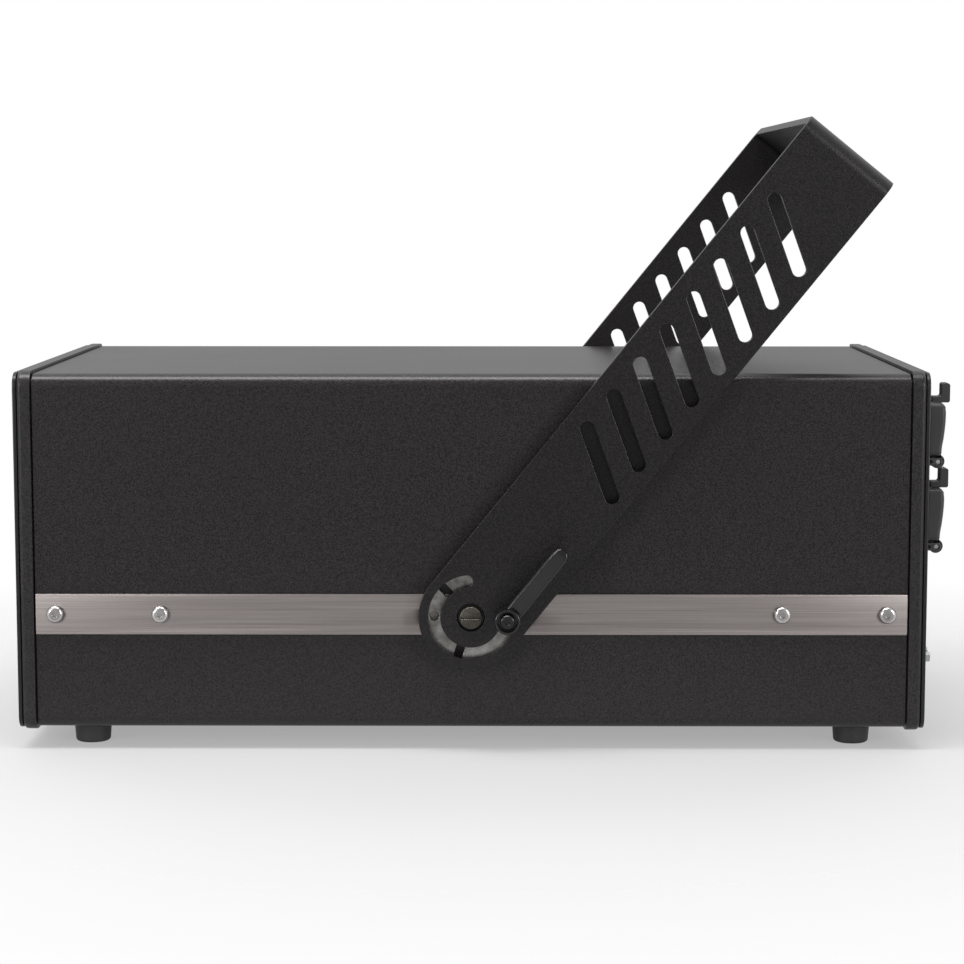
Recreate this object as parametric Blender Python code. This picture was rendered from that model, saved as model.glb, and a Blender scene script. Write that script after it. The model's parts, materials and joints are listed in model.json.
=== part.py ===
"""Laser show projector with its tilting bracket, in metres, +Z up, +X towards the rear connectors."""

import math

import bmesh
import bpy
from mathutils import Matrix, Vector
from mathutils.geometry import delaunay_2d_cdt

# General clearances
FIT = 0.0003
HOLE_CLEARANCE = 0.0003

# Body shells
BODY_LENGTH = 0.479
BODY_WIDTH = 0.255
BODY_HEIGHT = 0.196
SHELL_WALL = 0.002
BODY_EDGE_RADIUS = 0.007
CORNER_STEPS = 6
SEAM_ABOVE_PIVOT = 0.007

# Frames and end panels
GROOVE = 0.0008
FRAME_THICKNESS = 0.0074
FRAME_PROUD = 0.0016
FRAME_BORDER = 0.014
FRAME_EDGE_RADIUS = 0.0022
SPIGOT_DEPTH = 0.005
SPIGOT_WALL = 0.003
PANEL_THICKNESS = 0.002
PANEL_INSET = 0.001

# Feet
FOOT_HEIGHT = 0.012
FOOT_RADIUS = 0.0105
FOOT_TAPER = 0.0009
FOOT_TIP_ROUND = 0.0014
FOOT_RECESS_RADIUS = 0.004
FOOT_RECESS_DEPTH = 0.006
FOOT_FROM_END = 0.0265
FOOT_FROM_SIDE = 0.0255

# Side strips, the rails behind them and their screws
PIVOT_ABOVE_BODY_BOTTOM = 0.064
STRIP_HEIGHT = 0.0225
STRIP_THICKNESS = 0.0015
RAIL_THICKNESS = 0.006
RAIL_HEIGHT = 0.030
RAIL_END_GAP = 0.0005
SCREW_FROM_BODY_END = 0.0111
SCREW_PAIR_PITCH = 0.0577
SCREW_SHANK_RADIUS = 0.0025
SCREW_IN_RAIL = 0.005
SCREW_HEAD_RADIUS = 0.00475
SCREW_HEAD_HEIGHT = 0.0026
SCREW_SOCKET_WIDTH = 0.003
SCREW_SOCKET_DEPTH = 0.0017

# Pivot bolts and clamp studs
PIVOT_SHOULDER_RADIUS = 0.005
PIVOT_THREAD_RADIUS = 0.004
PIVOT_BEHIND_RAIL = 0.002
PIVOT_HEAD_RADIUS = 0.0062
PIVOT_HEAD_HEIGHT = 0.004
DRIVER_SLOT_WIDTH = 0.0014
DRIVER_SLOT_DEPTH = 0.0014
STUD_RADIUS = 0.003
STUD_OFFSET = 0.020
STUD_INSIDE = 0.0085
EDGE_BREAK = 0.0005

# Friction discs
DISC_LAP = 0.0022
DISC_THICKNESS = 0.0042
DISC_NOTCH_WIDTH = 0.005
DISC_NOTCH_DEPTH = 0.009
DISC_NOTCH_ANGLES = (134.0, 252.0)
DISC_TAPPED_RADIUS = 0.0025
DISC_STEP = 11.0

# Clamping levers
COLLAR_RADIUS = 0.0053
COLLAR_HEIGHT = 0.007
NECK_RADIUS = 0.0029
HUB_WALL = 0.0014
HUB_BASE_GAP = 0.0015
HUB_HEIGHT = 0.0145
HUB_WEB = 0.003
HUB_EDGE_BREAK = 0.0008
HUB_SCREW_RADIUS = 0.0039
HUB_SCREW_HEIGHT = 0.0022
HUB_SCREW_SOCKET_RADIUS = 0.0016
LEVER_REACH = 0.0495
LEVER_RISE = 0.011
LEVER_ABOVE_WEB = 0.002
LEVER_WIDTH = 0.0096
LEVER_DEPTH = 0.0068
LEVER_ANGLE = 52.6
LEVER_RISE_START = 0.1
LEVER_RISE_POWER = 1.15
LEVER_SQUARENESS = 0.6

# Bracket
BRACKET_ANGLE = 51.0
BRACKET_PLATE = 0.005
BRACKET_BEND_RADIUS = 0.009
BRACKET_BEND_STEPS = 5
ARM_RIM = 0.0052
ARM_END_STEPS = 12
SWING_CLEARANCE = 0.0237
COUNTERBORE_CLEARANCE = 0.0014
COUNTERBORE_DEPTH = 0.0025
ARM_SLOTS = 8
ARM_SLOT_WIDTH = 0.0078
ARM_SLOT_EDGE = 0.0076
ARM_SLOT_SHIFT = -0.001
ARM_SLOT_TILT = 59.0
ARM_SLOT_PITCH = 0.0226
LAST_SLOT_FROM_WEB = 0.0575
ARC_SLOT_HALF_ANGLE = 135.0
ARC_SLOT_STEPS = 24
RIGGING_HOLE_RADIUS = 0.0065
SIDE_HOLE_RADIUS = 0.0053
SIDE_HOLE_PITCH = 0.160

# Front window and masking plate
WINDOW_WIDTH = 0.064
WINDOW_HEIGHT = 0.052
WINDOW_CORNER_RADIUS = 0.004
WINDOW_ABOVE_BOTTOM = 0.108
WINDOW_LAP = 0.006
WINDOW_THICKNESS = 0.003
MASK_SIDE_LAP = 0.014
MASK_HEIGHT = 0.044
MASK_THICKNESS = 0.002
MASK_BELOW_WINDOW = 0.002
MASK_TRAVEL = 0.030
MASK_SLOT_WIDTH = 0.0044
MASK_SLOT_FROM_SIDE = 0.008
MASK_SLOT_FROM_TOP = 0.006

# Connector flanges and round sockets
FLANGE_WIDTH = 0.026
FLANGE_HEIGHT = 0.031
FLANGE_THICKNESS = 0.0025
FLANGE_CORNER_RADIUS = 0.003
BARREL_RADIUS = 0.0115
BARREL_DEPTH = 0.022
SOCKET_BORE_RADIUS = 0.0092
SOCKET_BORE_DEPTH = 0.014
SOCKET_POST_RADIUS = 0.0055
SOCKET_POST_HEIGHT = 0.009

# Mains sockets and their hinged lids
MAINS_FROM_SIDE = 0.0295
MAINS_BELOW_TOP = 0.0325
UNIT_GAP = 0.0006
LID_PROUD = 0.0117
LID_RIM = 0.0025
LID_RECESS = 0.004
LID_SHORTER = 0.0005
LID_CORNER_RADIUS = 0.0035
LID_TAB_RISE = 0.0103
LID_TAB_REACH = 0.015
LID_TAB_THICKNESS = 0.0045
LID_TAB_WIDTH = 0.010
LID_TAB_ROOT = 0.003
HINGE_BELOW_CENTRE = 0.0170
HINGE_PROUD = 0.0077
HINGE_BARREL_RADIUS = 0.0039
HINGE_PIN_RADIUS = 0.0014
HINGE_EAR_WIDTH = 0.003
HINGE_EAR_HALF = 0.0021
EAR_STEPS = 6

# Low-voltage sockets and key switch
COLUMN_GAP = 0.016
LOW_ROW_ABOVE_BOTTOM = 0.036
DATA_FROM_SIDE = 0.048
DATA_TO_NETWORK_GAP = 0.0205
DATA_WIDTH = 0.053
DATA_HEIGHT = 0.0125
DATA_FLANGE_THICKNESS = 0.0012
DATA_SHELL_WIDTH = 0.0385
DATA_SHELL_HEIGHT = 0.0083
DATA_SHELL_RADIUS = 0.002
DATA_SHELL_PROUD = 0.006
DATA_BODY_DEPTH = 0.012
PORT_WIDTH = 0.0118
PORT_HEIGHT = 0.0085
PORT_DEPTH = 0.013
PORT_CORNER_RADIUS = 0.0008
KEY_BEZEL_RADIUS = 0.011
KEY_BEZEL_HEIGHT = 0.003
KEY_BARREL_RADIUS = 0.0093
KEY_BARREL_DEPTH = 0.024
KEY_ROTOR_RADIUS = 0.0058
KEY_ROTOR_DEPTH = 0.012
KEY_ROTOR_CLEARANCE = 0.0002
KEYWAY_WIDTH = 0.001
KEYWAY_LENGTH = 0.008
KEYWAY_DEPTH = 0.005

# Cooling fan and its vent
FAN_SIZE = 0.080
FAN_DEPTH = 0.025
FAN_WALL = 0.0025
FAN_FROM_SIDE = 0.0655
FAN_BELOW_TOP = 0.080
FAN_CORNER_RADIUS = 0.005
FAN_HUB_RADIUS = 0.017
FAN_END_GAP = 0.005
FAN_TIP_GAP = 0.0012
FAN_BLADES = 7
FAN_BLADE_TWIST = 38.0
FAN_BLADE_ROOT = 10.0
FAN_BLADE_TIP = 3.0
SPIDER_THICKNESS = 0.003
SPIDER_ARM_ANGLE = 10.0
VENT_RINGS = 4
VENT_BAR = 0.0047
VENT_BREAKS = 4

# Air intake in the tray
INTAKE_SLOTS = 8
INTAKE_SLOT_LENGTH = 0.060
INTAKE_SLOT_WIDTH = 0.0036
INTAKE_PITCH = 0.010
INTAKE_FROM_FRONT = 0.070

# Optical bench, lasers and mirrors
BENCH_SIDE_GAP = 0.0192
BENCH_THICKNESS = 0.008
BENCH_FINS = 9
BENCH_FIN_WIDTH = 0.004
BENCH_FRONT_GAP = 0.010
REAR_BAY = 0.122
BEAM_FROM_BENCH_SIDE = 0.040
LASER_HEIGHT = 0.040
LASER_CORNER_RADIUS = 0.003
BLUE_LENGTH = 0.075
BLUE_WIDTH = 0.042
RED_LENGTH = 0.080
RED_WIDTH = 0.042
GREEN_LENGTH = 0.095
GREEN_WIDTH = 0.050
LASER_GAP = 0.018
BLUE_FROM_BENCH_END = 0.006
NOSE_RADIUS = 0.007
NOSE_LENGTH = 0.008
NOSE_FROM_BEAM = 0.030
MIRROR_SIZE = 0.022
MIRROR_THICKNESS = 0.003
MIRROR_FOOT = 0.022
MIRROR_POST = 0.0073

# Scanner and shutter
SCANNER_FROM_WINDOW = 0.030
SCANNER_WALL = 0.012
SCANNER_CLEARANCE = 0.006
SCANNER_SIDE_CLEARANCE = 0.011
MOTOR_RADIUS = 0.0075
MOTOR_LENGTH = 0.034
SHAFT_RADIUS = 0.0015
GALVO_MIRROR_RISE = 0.018
GALVO_MIRROR_WIDTH = 0.009
GALVO_MIRROR_THICKNESS = 0.0012
SHUTTER_MOTOR_RADIUS = 0.008
SHUTTER_MOTOR_BELOW_BEAM = 0.008
SHUTTER_SHAFT_RISE = 0.003
SHUTTER_REACH = 0.018
SHUTTER_FLAG = 0.012
SHUTTER_THICKNESS = 0.0018

# Electronics in the rear bay
SUPPLY_LENGTH = 0.085
SUPPLY_WIDTH = 0.100
SUPPLY_HEIGHT = 0.040
SUPPLY_TERMINAL_STEP = 0.0125
SUPPLY_FROM_SIDE = 0.020
BAY_FROM_SOCKETS = 0.006
BOARD_LENGTH = 0.085
BOARD_THICKNESS = 0.0016
BOARD_STANDOFF = 0.008
BOARD_LEG_RADIUS = 0.003
BOARD_LEG_INSET = 0.005
BOARD_FROM_SUPPLY = 0.012
BOARD_FROM_SIDE = 0.038

# Parts on the control board: place and size as shares of the board, then height
BOARD_PARTS = (
    (-0.24, -0.21, 0.28, 0.28, 0.004),
    (0.24, 0.18, 0.16, 0.35, 0.012),
    (-0.18, 0.28, 0.35, 0.12, 0.008),
)

# Worked out from the sizes above
HALF_BODY = BODY_LENGTH / 2
HALF_WIDTH = BODY_WIDTH / 2
BODY_BOTTOM = FOOT_HEIGHT
BODY_TOP = BODY_BOTTOM + BODY_HEIGHT
BODY_MIDDLE = (BODY_BOTTOM + BODY_TOP) / 2
FRAME_FACE = HALF_BODY + GROOVE + FRAME_THICKNESS
PANEL_FACE = FRAME_FACE + FIT + PANEL_THICKNESS
PIVOT_HEIGHT = BODY_BOTTOM + PIVOT_ABOVE_BODY_BOTTOM
SEAM_HEIGHT = PIVOT_HEIGHT + SEAM_ABOVE_PIVOT
TRAY_FLOOR = BODY_BOTTOM + SHELL_WALL
FRONT_REACH = PANEL_FACE + FIT + MASK_THICKNESS
REAR_REACH = PANEL_FACE + LID_TAB_REACH
HOUSING_X = (FRONT_REACH - REAR_REACH) / 2
STRIP_FACE = HALF_WIDTH + FIT + STRIP_THICKNESS
DISC_BACK = STRIP_FACE + FIT
ARM_INSIDE = DISC_BACK + DISC_THICKNESS + FIT
ARM_OUTSIDE = ARM_INSIDE + BRACKET_PLATE
COUNTERBORE_FLOOR = ARM_OUTSIDE - COUNTERBORE_DEPTH
RAIL_FACE = HALF_WIDTH - SHELL_WALL - FIT
RAIL_BACK = RAIL_FACE - RAIL_THICKNESS
SLOT_HALF_WIDTH = STUD_RADIUS + HOLE_CLEARANCE
DISC_RADIUS = STUD_OFFSET + SLOT_HALF_WIDTH + DISC_LAP
ARM_HALF_WIDTH = STUD_OFFSET + SLOT_HALF_WIDTH + ARM_RIM
CORNER_REACH = math.hypot(REAR_REACH, BODY_TOP + FRAME_PROUD - PIVOT_HEIGHT)
WEB_OUTSIDE = CORNER_REACH + SWING_CLEARANCE + BRACKET_PLATE
SCREW_PLACES = [side * (HALF_BODY - SCREW_FROM_BODY_END - step * SCREW_PAIR_PITCH)
                for side in (-1, 1) for step in (0, 1)]
WINDOW_Z = BODY_BOTTOM + WINDOW_ABOVE_BOTTOM
WINDOW_BACK = -(FRAME_FACE - WINDOW_THICKNESS)
HUB_POCKET_RADIUS = COLLAR_RADIUS + HOLE_CLEARANCE
HUB_RADIUS = HUB_POCKET_RADIUS + HUB_WALL
MAINS_PITCH = FLANGE_HEIGHT / 2 + LID_TAB_RISE + HINGE_BELOW_CENTRE + HINGE_BARREL_RADIUS + UNIT_GAP
MAINS_Y = -HALF_WIDTH + MAINS_FROM_SIDE
MAINS_Z = BODY_TOP - MAINS_BELOW_TOP
LOWER_MAINS_Z = MAINS_Z - MAINS_PITCH
LOW_ROW_Z = BODY_BOTTOM + LOW_ROW_ABOVE_BOTTOM
KEY_Y = MAINS_Y + FLANGE_WIDTH + COLUMN_GAP
DATA_Y = -HALF_WIDTH + DATA_FROM_SIDE
NETWORK_Y = DATA_Y + DATA_WIDTH / 2 + DATA_TO_NETWORK_GAP + FLANGE_WIDTH / 2
FLANGE_FACE = FIT + FLANGE_THICKNESS
FAN_Y = HALF_WIDTH - FAN_FROM_SIDE
FAN_Z = BODY_TOP - FAN_BELOW_TOP
FAN_BORE_RADIUS = FAN_SIZE / 2 - FAN_WALL
BENCH_HALF_WIDTH = RAIL_BACK - BENCH_SIDE_GAP
BEAM_LINE_Y = -BENCH_HALF_WIDTH + BEAM_FROM_BENCH_SIDE
BENCH_FRONT = -HALF_BODY + BENCH_FRONT_GAP
BENCH_REAR = HALF_BODY - REAR_BAY
SCANNER_X = WINDOW_BACK + SCANNER_FROM_WINDOW
BEAM_Z = WINDOW_Z - GALVO_MIRROR_RISE
BENCH_TOP = BEAM_Z - LASER_HEIGHT / 2 - FIT
ON_BENCH = BENCH_TOP + FIT
ON_TRAY = TRAY_FLOOR + FIT
BLUE_NOSE_X = BENCH_REAR - BLUE_FROM_BENCH_END - BLUE_LENGTH
RED_X = BLUE_NOSE_X - LASER_GAP / 2 - RED_WIDTH / 2
GREEN_X = RED_X - LASER_GAP - RED_WIDTH / 2 - GREEN_WIDTH / 2
SHUTTER_X = (GREEN_X + SCANNER_X) / 2
BAY_REAR = HALF_BODY - BARREL_DEPTH - BAY_FROM_SOCKETS

TRIANGLES_INSIDE = 1
SIDES = {"near": -1, "far": 1}
FACE_REAR = (math.pi / 2, 0, math.pi / 2)
FACE_FRONT = (math.pi / 2, 0, -math.pi / 2)
FACE_SIDE = {"near": (math.pi / 2, 0, 0), "far": (math.pi / 2, 0, math.pi)}

# Colour, metallic and roughness of each finish
FINISHES = {
    "black_powder_coat": ((0.045, 0.042, 0.044), 0.0, 0.55),
    "black_panel": ((0.020, 0.020, 0.022), 0.0, 0.45),
    "brushed_stainless": ((0.52, 0.50, 0.48), 1.0, 0.38),
    "polished_steel": ((0.72, 0.70, 0.68), 1.0, 0.18),
    "dull_zinc": ((0.38, 0.37, 0.33), 1.0, 0.42),
    "black_rubber": ((0.018, 0.018, 0.018), 0.0, 0.75),
    "black_gloss": ((0.012, 0.012, 0.013), 0.0, 0.28),
    "black_plastic": ((0.022, 0.022, 0.024), 0.0, 0.50),
    "window_glass": ((0.60, 0.66, 0.68), 0.0, 0.05),
    "aluminium": ((0.62, 0.63, 0.65), 1.0, 0.35),
    "mirror_coating": ((0.85, 0.85, 0.88), 1.0, 0.04),
    "circuit_board": ((0.02, 0.16, 0.07), 0.0, 0.45),
    "steel_cage": ((0.45, 0.46, 0.48), 1.0, 0.40),
}


# Objects and finishes


def clear_scene():
    """Removes what the file holds at the start."""
    for item in list(bpy.data.objects):
        bpy.data.objects.remove(item, do_unlink=True)


def finish(name):
    """Gives the material of a finish, made when it is first asked for."""
    material = bpy.data.materials.get(name)
    if material:
        return material
    colour, metallic, roughness = FINISHES[name]
    material = bpy.data.materials.new(name)
    material.use_nodes = True
    shader = material.node_tree.nodes["Principled BSDF"]
    shader.inputs["Base Color"].default_value = (*colour, 1.0)
    shader.inputs["Metallic"].default_value = metallic
    shader.inputs["Roughness"].default_value = roughness
    return material


def add_empty(name, parent=None, location=(0, 0, 0), rotation=(0, 0, 0)):
    """An empty that carries other objects."""
    item = bpy.data.objects.new(name, None)
    bpy.context.scene.collection.objects.link(item)
    item.parent = parent
    item.location = location
    item.rotation_euler = rotation
    return item


def make_mesh(name, bm, finish_name, sharp_angle=35):
    """Turns a bmesh into a mesh with its finish, smooth but for its sharp edges."""
    mesh = bpy.data.meshes.new(name)
    bm.to_mesh(mesh)
    bm.free()
    mesh.materials.append(finish(finish_name))
    mesh.shade_smooth()
    mesh.set_sharp_from_angle(angle=math.radians(sharp_angle))
    return mesh


def place_piece(name, mesh, parent, location=(0, 0, 0), rotation=(0, 0, 0)):
    """Places a named piece of the projector with its mesh."""
    item = bpy.data.objects.new(name, mesh)
    bpy.context.scene.collection.objects.link(item)
    item.parent = parent
    item.location = location
    item.rotation_euler = rotation


def add_piece(name, bm, finish_name, parent, location=(0, 0, 0), rotation=(0, 0, 0)):
    """Makes a mesh and places it, for a piece of which there is one."""
    place_piece(name, make_mesh(name, bm, finish_name), parent, location, rotation)


# Outlines


def circle(radius, height, count=16, centre=(0.0, 0.0), start=0.0):
    """Points of a level circle, counter-clockwise seen from above."""
    step = 2 * math.pi / count
    return [(centre[0] + radius * math.cos(start + i * step),
             centre[1] + radius * math.sin(start + i * step), height) for i in range(count)]


def hexagon(across_flats, height, count=12):
    """Points of a level hexagon, spaced like a circle's."""
    sixth = math.pi / 3
    points = []
    for i in range(count):
        angle = 2 * math.pi * i / count
        from_flat = (angle % sixth) - sixth / 2
        radius = across_flats / 2 / math.cos(from_flat)
        points.append((radius * math.cos(angle), radius * math.sin(angle), height))
    return points


def rounded_rectangle(half_x, half_y, radius, height, steps=5, centre=(0.0, 0.0)):
    """Points of a level rectangle with round corners, starting after the +X axis."""
    points = []
    for quarter, (sx, sy) in enumerate(((1, 1), (-1, 1), (-1, -1), (1, -1))):
        for i in range(steps + 1):
            angle = math.pi / 2 * (quarter + i / steps)
            points.append((centre[0] + sx * (half_x - radius) + radius * math.cos(angle),
                           centre[1] + sy * (half_y - radius) + radius * math.sin(angle), height))
    return points


def matched_circle(radius, height, steps=5):
    """A circle with as many points as a rounded rectangle, each facing its partner."""
    count = 4 * (steps + 1)
    return circle(radius, height, count, start=math.pi / count)


def round_hole(radius, count=16, centre=(0.0, 0.0)):
    """A hole's outline for a plate."""
    return flat(circle(radius, 0, count, centre))


def flat(points):
    """Drops the height of a loop's points."""
    return [(point[0], point[1]) for point in points]


def obround(length, width, angle, centre, steps=4):
    """A slot outline whose end centres are length apart, turned by angle."""
    points = []
    for end in (1, -1):
        middle = (centre[0] + end * length / 2 * math.cos(angle),
                  centre[1] + end * length / 2 * math.sin(angle))
        first = angle - end * math.pi / 2
        for i in range(steps + 1):
            a = first + math.pi * i / steps
            points.append((middle[0] + width / 2 * math.cos(a), middle[1] + width / 2 * math.sin(a)))
    return points


def arc_slot(radius, width, start, end, centre, steps, end_steps=4):
    """A slot bent round a centre, from start to end angle, with round ends."""
    half = width / 2
    points = []

    def add(arm, angle, swing, turn):
        points.append((centre[0] + arm * math.cos(angle) + swing * math.cos(turn),
                       centre[1] + arm * math.sin(angle) + swing * math.sin(turn)))

    for i in range(steps + 1):
        angle = start + (end - start) * i / steps
        add(radius, angle, half, angle)
    for i in range(1, end_steps):
        add(radius, end, half, end + math.pi * i / end_steps)
    for i in range(steps + 1):
        angle = end + (start - end) * i / steps
        add(radius, angle, -half, angle)
    for i in range(1, end_steps):
        add(radius, start, half, start + math.pi * (1 + i / end_steps))
    return points


def inside(x, y, loop):
    """True where a point lies inside a closed loop."""
    crossings = 0
    for (x0, y0), (x1, y1) in zip(loop, loop[1:] + loop[:1]):
        if (y0 > y) != (y1 > y) and x < x0 + (x1 - x0) * (y - y0) / (y1 - y0):
            crossings += 1
    return crossings % 2 == 1


# Solids


def loft(loops, ring=False):
    """Skins loops of equal counts in order; a ring closes on itself, else both ends are capped."""
    bm = bmesh.new()
    rows = [[bm.verts.new(point) for point in loop] for loop in loops]
    pairs = list(zip(rows, rows[1:]))
    if ring:
        pairs.append((rows[-1], rows[0]))
    count = len(rows[0])
    for low, high in pairs:
        for i in range(count):
            j = (i + 1) % count
            bm.faces.new((low[i], low[j], high[j], high[i]))
    if not ring:
        bm.faces.new(rows[0])
        bm.faces.new(rows[-1])
    bmesh.ops.recalc_face_normals(bm, faces=bm.faces)
    return bm


def plate(outline, holes, thickness, low=0.0, creases=()):
    """A flat plate with its outline and holes as closed point lists, from low upwards.

    A crease runs straight across it in Y at each of the given X places.
    """
    points = []
    edges = []
    for loop in [outline] + list(holes):
        first = len(points)
        points += [Vector((point[0], point[1])) for point in loop]
        edges += [(first + i, first + (i + 1) % len(loop)) for i in range(len(loop))]
    half = max(point[1] for point in outline)
    for x in creases:
        edges.append((len(points), len(points) + 1))
        points += [Vector((x, -half)), Vector((x, half))]
    filled = delaunay_2d_cdt(points, edges, [], TRIANGLES_INSIDE, 1e-7)
    bm = bmesh.new()
    verts = [bm.verts.new((point.x, point.y, low)) for point in filled[0]]
    for face in filled[2]:
        middle = sum((filled[0][i] for i in face), Vector((0, 0))) / len(face)
        if not any(inside(middle.x, middle.y, hole) for hole in holes):
            bm.faces.new([verts[i] for i in face])
    lifted = bmesh.ops.extrude_face_region(bm, geom=bm.faces[:])
    top = [part for part in lifted["geom"] if isinstance(part, bmesh.types.BMVert)]
    bmesh.ops.translate(bm, vec=(0, 0, thickness), verts=top)
    bmesh.ops.recalc_face_normals(bm, faces=bm.faces)
    return bm


def box(low, high):
    """A plain block between two corners."""
    loops = [[(low[0], low[1], z), (high[0], low[1], z), (high[0], high[1], z), (low[0], high[1], z)]
             for z in (low[2], high[2])]
    return loft(loops)


def rod(radius, low, high, count=16):
    """A round rod along Z."""
    return loft([circle(radius, low, count), circle(radius, high, count)])


def tube(radius, bore, low, high, count=16):
    """A round tube along Z."""
    return loft([circle(bore, low, count), circle(radius, low, count),
                 circle(radius, high, count), circle(bore, high, count)], ring=True)


def extrude_profile(points, low, high):
    """A closed profile in Y and Z, drawn out along X."""
    return loft([[(x, y, z) for y, z in points] for x in (low, high)])


def moved(bm, matrix):
    """Moves a whole bmesh by a matrix and hands it back."""
    bmesh.ops.transform(bm, matrix=matrix, verts=bm.verts)
    return bm


def shift(x, y, z):
    """A matrix that shifts."""
    return Matrix.Translation((x, y, z))


def turn_about(axis, degrees):
    """A matrix that turns about X, Y or Z."""
    return Matrix.Rotation(math.radians(degrees), 4, axis)


def combine(first, others, operation="UNION"):
    """Joins solids into one body, or cuts the others away, and hands back a new bmesh."""
    target = bpy.data.objects.new("target", bpy.data.meshes.new("target"))
    first.to_mesh(target.data)
    first.free()
    bpy.context.scene.collection.objects.link(target)
    tools = []
    for other in others:
        tool = bpy.data.objects.new("tool", bpy.data.meshes.new("tool"))
        other.to_mesh(tool.data)
        other.free()
        bpy.context.scene.collection.objects.link(tool)
        modifier = target.modifiers.new(tool.name, "BOOLEAN")
        modifier.operation = operation
        modifier.solver = "EXACT"
        modifier.object = tool
        tools.append(tool)
    bpy.context.view_layer.update()
    evaluated = target.evaluated_get(bpy.context.evaluated_depsgraph_get())
    result = bmesh.new()
    result.from_mesh(evaluated.to_mesh())
    evaluated.to_mesh_clear()
    for item in tools + [target]:
        mesh = item.data
        bpy.data.objects.remove(item, do_unlink=True)
        bpy.data.meshes.remove(mesh)
    return result


def fold_creases(first_flat, radius, middle_flat, steps):
    """The X places of a blank's creases for its two bends."""
    bend = radius * math.pi / 2
    return [start + bend * i / steps for start in (first_flat, first_flat + bend + middle_flat)
            for i in range(steps + 1)]


def fold(bm, wall, first_flat, radius, middle_flat):
    """Folds a flat blank, long in X, into a U. Its top becomes the outside.

    The first flat runs up from zero, the first bend turns it over, and the last flat runs down.
    The middle flat's outer face ends up at first_flat + radius.
    """
    bend = radius * math.pi / 2
    half = middle_flat / 2 + radius
    for vert in bm.verts:
        along = vert.co.x
        inward = wall - vert.co.z
        if along <= first_flat:
            side, up = -half + inward, along
        elif along <= first_flat + bend:
            turn = (along - first_flat) / radius
            side = -half + radius - (radius - inward) * math.cos(turn)
            up = first_flat + (radius - inward) * math.sin(turn)
        elif along <= first_flat + bend + middle_flat:
            side = -middle_flat / 2 + along - first_flat - bend
            up = first_flat + radius - inward
        elif along <= first_flat + 2 * bend + middle_flat:
            turn = (along - first_flat - bend - middle_flat) / radius
            side = half - radius + (radius - inward) * math.sin(turn)
            up = first_flat + (radius - inward) * math.cos(turn)
        else:
            side = half - inward
            up = first_flat - (along - first_flat - 2 * bend - middle_flat)
        vert.co = Vector((side, vert.co.y, up))
    bmesh.ops.recalc_face_normals(bm, faces=bm.faces)


# The two body shells


def folded_shell(wall_flat, make_holes):
    """A shell folded up at both sides, its free edges at zero and its length along Y."""
    middle_flat = BODY_WIDTH - 2 * BODY_EDGE_RADIUS
    total = 2 * wall_flat + BODY_EDGE_RADIUS * math.pi + middle_flat
    outline = [(0, -HALF_BODY), (total, -HALF_BODY), (total, HALF_BODY), (0, HALF_BODY)]
    creases = fold_creases(wall_flat, BODY_EDGE_RADIUS, middle_flat, CORNER_STEPS)
    bm = plate(outline, make_holes(total), SHELL_WALL, 0.0, creases)
    fold(bm, SHELL_WALL, wall_flat, BODY_EDGE_RADIUS, middle_flat)
    return bm


def make_tray(parent):
    """The lower shell: a blank with its screw holes and air intake, folded up at both sides."""
    wall_top = SEAM_HEIGHT - FIT / 2
    hole_line = wall_top - PIVOT_HEIGHT

    def holes(total):
        loops = []
        for along in (hole_line, total - hole_line):
            loops += [round_hole(SCREW_SHANK_RADIUS + HOLE_CLEARANCE, 12, (along, x)) for x in SCREW_PLACES]
            loops.append(round_hole(PIVOT_THREAD_RADIUS + HOLE_CLEARANCE, 16, (along, 0)))
            loops.append(round_hole(STUD_RADIUS + HOLE_CLEARANCE, 12, (along, STUD_OFFSET)))
        for row in range(INTAKE_SLOTS):
            x = -HALF_BODY + INTAKE_FROM_FRONT + row * INTAKE_PITCH
            loops.append(obround(INTAKE_SLOT_LENGTH, INTAKE_SLOT_WIDTH, 0, (total / 2, x)))
        return loops

    bm = folded_shell(wall_top - BODY_BOTTOM - BODY_EDGE_RADIUS, holes)
    moved(bm, shift(0, 0, wall_top) @ turn_about("Z", -90) @ turn_about("Y", 180))
    add_piece("base_tray", bm, "black_powder_coat", parent)


def make_cover(parent):
    """The upper shell, folded down at both sides as far as the seam behind the strips."""
    wall_bottom = SEAM_HEIGHT + FIT / 2
    bm = folded_shell(BODY_TOP - BODY_EDGE_RADIUS - wall_bottom, lambda total: [])
    moved(bm, shift(0, 0, wall_bottom) @ turn_about("Z", 90))
    add_piece("cover_shell", bm, "black_powder_coat", parent)


# Frames and end panels


def frame_loop(outward, inset):
    """One loop of a frame's section, at a distance outward from the body's end."""
    half_y = HALF_WIDTH + FRAME_PROUD - inset
    half_z = BODY_HEIGHT / 2 + FRAME_PROUD - inset
    radius = max(BODY_EDGE_RADIUS + FRAME_PROUD - inset, FRAME_PROUD / 2)
    return rounded_rectangle(half_y, half_z, radius, outward, CORNER_STEPS)


def frame_section():
    """A frame's section as outward distance and inset: rounded outer edge, face and spigot."""
    spigot_outside = FRAME_PROUD + SHELL_WALL + FIT
    spigot_inside = spigot_outside + SPIGOT_WALL
    face = GROOVE + FRAME_THICKNESS
    section = [(GROOVE, 0.0)]
    steps = 3
    for i in range(steps + 1):
        angle = math.pi / 2 * i / steps
        section.append((face - FRAME_EDGE_RADIUS * (1 - math.sin(angle)),
                        FRAME_EDGE_RADIUS * (1 - math.cos(angle))))
    return section + [(face, FRAME_BORDER), (GROOVE, FRAME_BORDER), (GROOVE, spigot_inside),
                      (-SPIGOT_DEPTH, spigot_inside), (-SPIGOT_DEPTH, spigot_outside),
                      (GROOVE, spigot_outside)]


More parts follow.
